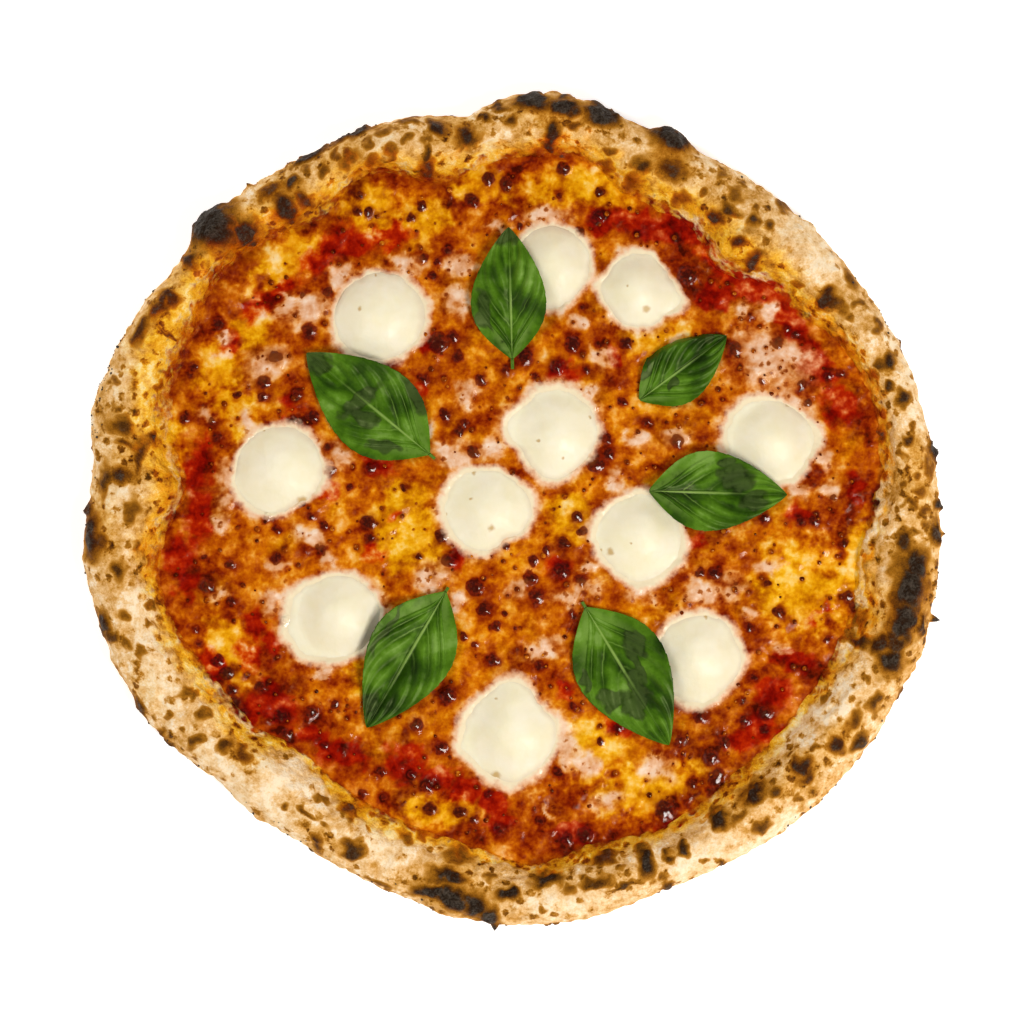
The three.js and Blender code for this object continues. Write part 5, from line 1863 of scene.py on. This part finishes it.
def felt_height(tree, places):
    """The height of the frame's leaf under those places, with its facets evened out."""
    settings = {"transform_space": "RELATIVE"}
    solid = tree.node("GeometryNodeObjectInfo", settings, {0: tree.input("Laid on")})
    rays = {"Target Geometry": solid.output("Geometry"), "Source Position": places}
    rays |= {"Ray Direction": (0.0, 0.0, -1.0), "Ray Length": 2 * SKY * MM}
    felt = tree.node("GeometryNodeRaycast", {}, rays)
    hit = tree.node("ShaderNodeSeparateXYZ", {}, {0: felt.output("Hit Position")})
    evening = {"Value": hit.output("Z"), "Iterations": FELT_STEPS}
    return tree.node("GeometryNodeBlurAttribute", {"data_type": "FLOAT"}, evening)


def vein_phase(along, sideways):
    """Counts up by one from each side vein to the next, closer together near the base."""
    root = (along - VEIN_SLANT * sideways**VEIN_BEND).at_least(0)
    return VEIN_COUNT * root**VEIN_CROWDING


def leaf_relief(tree, flat, blade, sideways, belly):
    """How far puffs, rib, waves and curl lift each point over what the leaf lies on."""
    phase = vein_phase(blade, sideways)
    pillow = (math.pi * phase.fraction()).sine().at_least(0) ** PILLOW_ROUND
    room = (2 * belly).at_most(1) * (1 - sideways**4)
    puffed = sideways.rise(0.0, 0.35) * (0.25 + 0.75 * blade.rise(0.0, 0.4))
    puff = PILLOW_HEIGHT * MM * pillow * room * puffed
    groove = GROOVE_DEPTH * MM * (1 - sideways.rise(0.03, 0.22)) * room
    rib = RIB_HEIGHT * MM * (1 - sideways.rise(0.0, 0.05))
    noise = {"Vector": flat, "W": tree.input("Seed"), "Scale": UNDULATION_SCALE, "Detail": 2}
    cloud = tree.node("ShaderNodeTexNoise", {"noise_dimensions": "4D"}, noise) - 0.5
    curl = tree.input("Bend") * (sideways**2.5 * belly) + 0.7 * tree.input("Bend") * blade**6
    return puff + rib - groove + UNDULATION * MM * cloud * room + curl


# %% Tree of the leaf
LEAF_STATIONS = 160
LEAF_STRIPS = 96
FELT_SHARE = 0.86
LEAF_THICKNESS = 0.55
CLOSING_GAP = 0.02


def leaf_tree(material):
    labels = {"Laid on": "NodeSocketObject", "Base": "NodeSocketVector", "Tip": "NodeSocketVector"}
    labels |= dict.fromkeys(("Left", "Right", "Stalk", "Bend", "Seed"), "NodeSocketFloat")
    tree = GeometryTree("basil_leaf", labels)
    size = {"Size X": 1, "Size Y": 1, "Vertices X": LEAF_STATIONS, "Vertices Y": LEAF_STRIPS}
    grid = tree.node("GeometryNodeMeshGrid", {}, size)
    places = tree.node("ShaderNodeSeparateXYZ", {}, {0: grid.output("UV Map")})
    along, across = places.output("X"), 2 * places.output("Y") - 1
    sideways = across.size()
    blade, belly, half_width = leaf_outline(tree, along, across)
    base = tree.input("Base")
    axis = tree.vector("SUBTRACT", tree.input("Tip"), base)
    turned = tree.vector("CROSS_PRODUCT", (0.0, 0.0, 1.0), tree.vector("NORMALIZE", axis))

    def over_leaf(inwards):
        """A place high over each point, drawn in from the margin to that share."""
        step = tree.scaled(turned, across * inwards * half_width)
        lengthwise = 0.5 + (along - 0.5) * (1 - 0.35 * (1 - inwards))
        start = tree.vector("ADD", base, tree.scaled(axis, lengthwise))
        return tree.vector("ADD", tree.vector("ADD", start, step), (0.0, 0.0, SKY * MM))

    flat = tree.vector("MULTIPLY", over_leaf(1), (1.0, 1.0, 0.0))
    height = felt_height(tree, over_leaf(FELT_SHARE))
    height = height + leaf_relief(tree, flat, blade, sideways, belly)
    top = tree.vector("ADD", flat, tree.node("ShaderNodeCombineXYZ", {}, {"Z": height}))
    kept = tree.stored(tree.stored(grid, "along", blade), "across", across)
    laid = tree.moved(kept, Position=top)

    margin = (1 - sideways**8) * (belly * 6).at_most(1)
    down = tree.node("ShaderNodeCombineXYZ", {}, {"Z": -LEAF_THICKNESS * MM * margin})
    under = tree.node("GeometryNodeFlipFaces", {}, {0: tree.moved(laid, Offset=down)})
    closing = {0: tree.joined(laid, under), "Distance": CLOSING_GAP * MM}
    closed = tree.node("GeometryNodeMergeByDistance", {}, closing)
    tree.finished(closed, material)
    return tree


# %% [markdown]
# The finish is a soft gloss over green: lighter along the midrib and the veins, with painted
# shade in the valleys at the veins and beside the midrib. It is darker and duller in the bruises
# that the oven's heat leaves, and in painted shade where a leaf folds. The vein phase is the one
# that shaped the leaf, so the lines run in the valleys between the puffs.

# %% Finish of the basil
LEAF_TINT = (0.85, 1, 0.45, 1)
LEAF_GREENS = [
    (0.0, 0.07, 0.16, 0.005), (0.3, 0.15, 0.28, 0.01), (0.55, 0.24, 0.39, 0.03),
    (0.8, 0.33, 0.49, 0.10), (1.0, 0.44, 0.58, 0.24),
]


def basil_finish():
    look = Finish("basil")
    along, across = look.kept("along"), look.kept("across")
    sideways = across.size()
    middle = look.cloud(15, detail=1, seed=4)
    small = look.cloud(3, detail=2, seed=6)
    fine = look.cloud(0.9, detail=2, seed=5)
    phase = vein_phase(along, sideways) + 0.1 * small
    between = (2 * phase.fraction() - 1).size()
    inner = 1 - sideways.rise(0.5, 0.85)
    side_vein = between.rise(0.86, 0.98) * sideways.rise(0.02, 0.06) * inner
    groove = between.rise(0.3, 0.9) * inner
    rib = (1 - sideways.rise(0.01, 0.045)) * (1 - 0.85 * along.rise(0.35, 0.75))
    shade_beside_rib = 1 - sideways.rise(0.04, 0.14)
    tone = 0.66 + 1.1 * middle + 0.25 * small + 0.08 * fine
    # Painted shade: darker in the valleys at the veins and beside the midrib.
    tone = tone - 0.25 * groove - 0.12 * shade_beside_rib - 0.12 * along
    surface = look.ramp(tone, LEAF_GREENS)
    pale_vein = 0.45 * side_vein * (1 - along.rise(0.3, 0.6))
    surface = look.mix(pale_vein, surface, colour(0.46, 0.60, 0.24))
    # Painted shade: thin dark lines in the vein valleys towards the tip.
    surface = look.mix(0.3 * side_vein * along.rise(0.4, 0.6), surface, colour(0.10, 0.20, 0.02))
    surface = look.mix(0.8 * rib, surface, colour(0.54, 0.66, 0.32))
    # Dark patches: partly bruises, partly painted shade where a leaf folds.
    bruise_and_fold_shade = look.kept("bruise_and_fold_shade") + 0.4 * middle + 0.35 * small
    inside = 0.9 * bruise_and_fold_shade.rise(0.05, 0.5) + 1.3 * small + 0.3 * between
    bruise_and_shade_colour = look.mix(inside, colour(0.06, 0.10, 0.02), colour(0.21, 0.27, 0.12))
    surface = look.mix(0.85 * bruise_and_fold_shade.rise(-0.05, 0.3) * (1 - 0.6 * rib), surface, bruise_and_shade_colour)
    height = 0.5 + 0.4 * small + 0.2 * fine
    return look.done(
        Base_Color=surface,
        Roughness=0.46 + 0.12 * middle,
        Normal=look.bump(height, 0.1),
        Specular_IOR_Level=0.3,
        Specular_Tint=LEAF_TINT,
    )


# %% [markdown]
# Each leaf is a row: its base and tip, the half widths on its left and right, the share of its
# length that is bare stalk, how far its margins curl up, and its dark patches: bruises, and
# painted shade where the leaf folds. Those are given on the leaf itself, as the distance from the
# base, the distance from the midrib, half sizes and tilt.

# %% Leaves
BASIL = [
    (
        (0, 53), (-1.5, 106), 15, 13.4, 0.075, 0.8,
        [(22, 10.5, 8, 4, 10), (18.5, 8, 4, 1.6, 20), (51, 1, 5, 6)],
    ),
    (
        (-29, 19.5), (-77, 59), 17.3, 16.7, 0.045, 1.2,
        [
            (35.5, 1, 3.4, 11, -12), (31, 5, 6, 3.5, 20), (19, -13.5, 10, 3, -15),
            (18, 9, 8, 2.2, 30), (57, 0.5, 5, 6),
        ],
    ),
    (
        (47.5, 41.5), (80, 65.5), 12.1, 12.1, 0.0, 0.7,
        [(9, 7.5, 6, 1.8, 30), (34.5, 2.5, 4, 2), (13, -2.5, 3, 1.6)],
    ),
    (
        (51, 7.5), (102.5, 6), 15.7, 14.5, 0.0, 1.0,
        [(31.5, 5.5, 7, 6.5), (39, -3, 7, 3.6), (29, 12, 5, 1.8)],
    ),
    (
        (-24, -28.5), (-54.5, -81), 16.1, 16.1, 0.035, 1.3,
        [(53, -3.5, 6, 3.5), (25, -12, 12, 1.6, -5)],
    ),
    (
        (26, -34), (58.5, -87.5), 17.4, 17.6, 0.04, 0.9,
        [
            (30, 5.5, 9, 1.6), (37, 2, 8, 4.5), (43, -3, 6, 5), (37, -10, 5, 5), (23, 9, 8, 4, 10),
            (25, -14, 6, 1.4, -20),
        ],
    ),
]

basil_tree = leaf_tree(basil_finish())
for number, (base, tip, left, right, stalk, bend, bruises_and_fold_shades) in enumerate(BASIL, start=1):
    values = {"Laid on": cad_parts[f"basil_leaf_{number}"], "Seed": float(number)}
    values |= {"Stalk": stalk, "Base": (*(MM * part for part in base), 0.0)}
    values |= {"Tip": (*(MM * part for part in tip), 0.0)}
    values |= {"Left": MM * left, "Right": MM * right, "Bend": MM * bend}
    leaf = basil_tree.mesh(f"basil_blade_{number}", values)
    places = np.array([vertex.co[:2] for vertex in leaf.data.vertices]) / MM - base
    axis = (np.array(tip) - base) / math.dist(base, tip)
    on_leaf = places @ axis, places @ np.array([-axis[1], axis[0]])
    rough = pushed(*on_leaf, 5, 2.2, 30 + number)
    # Dark patches on the leaf: bruises, and painted shade of its folds.
    bruise_and_fold_shade = leaf.data.attributes.new("bruise_and_fold_shade", "FLOAT", "POINT")
    bruise_and_fold_shade.data.foreach_set("value", patches(*rough, bruises_and_fold_shades).astype(np.float32))
    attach(leaf, "root")
    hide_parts(f"basil_leaf_{number}")

# %% [markdown]
# ## Sizes, and done
#
# The skins should stay on the solids they stand for, so both boxes are printed.

# %% Print the boxes and finish
visual_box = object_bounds()
boxes = {"cad": cad_box, "visual": visual_box}
boxes = {name: [list(corner) for corner in box] for name, box in boxes.items()}
for name, (low, high) in boxes.items():
    print(name, "box in mm:", [round((b - a) / MM, 1) for a, b in zip(low, high)])
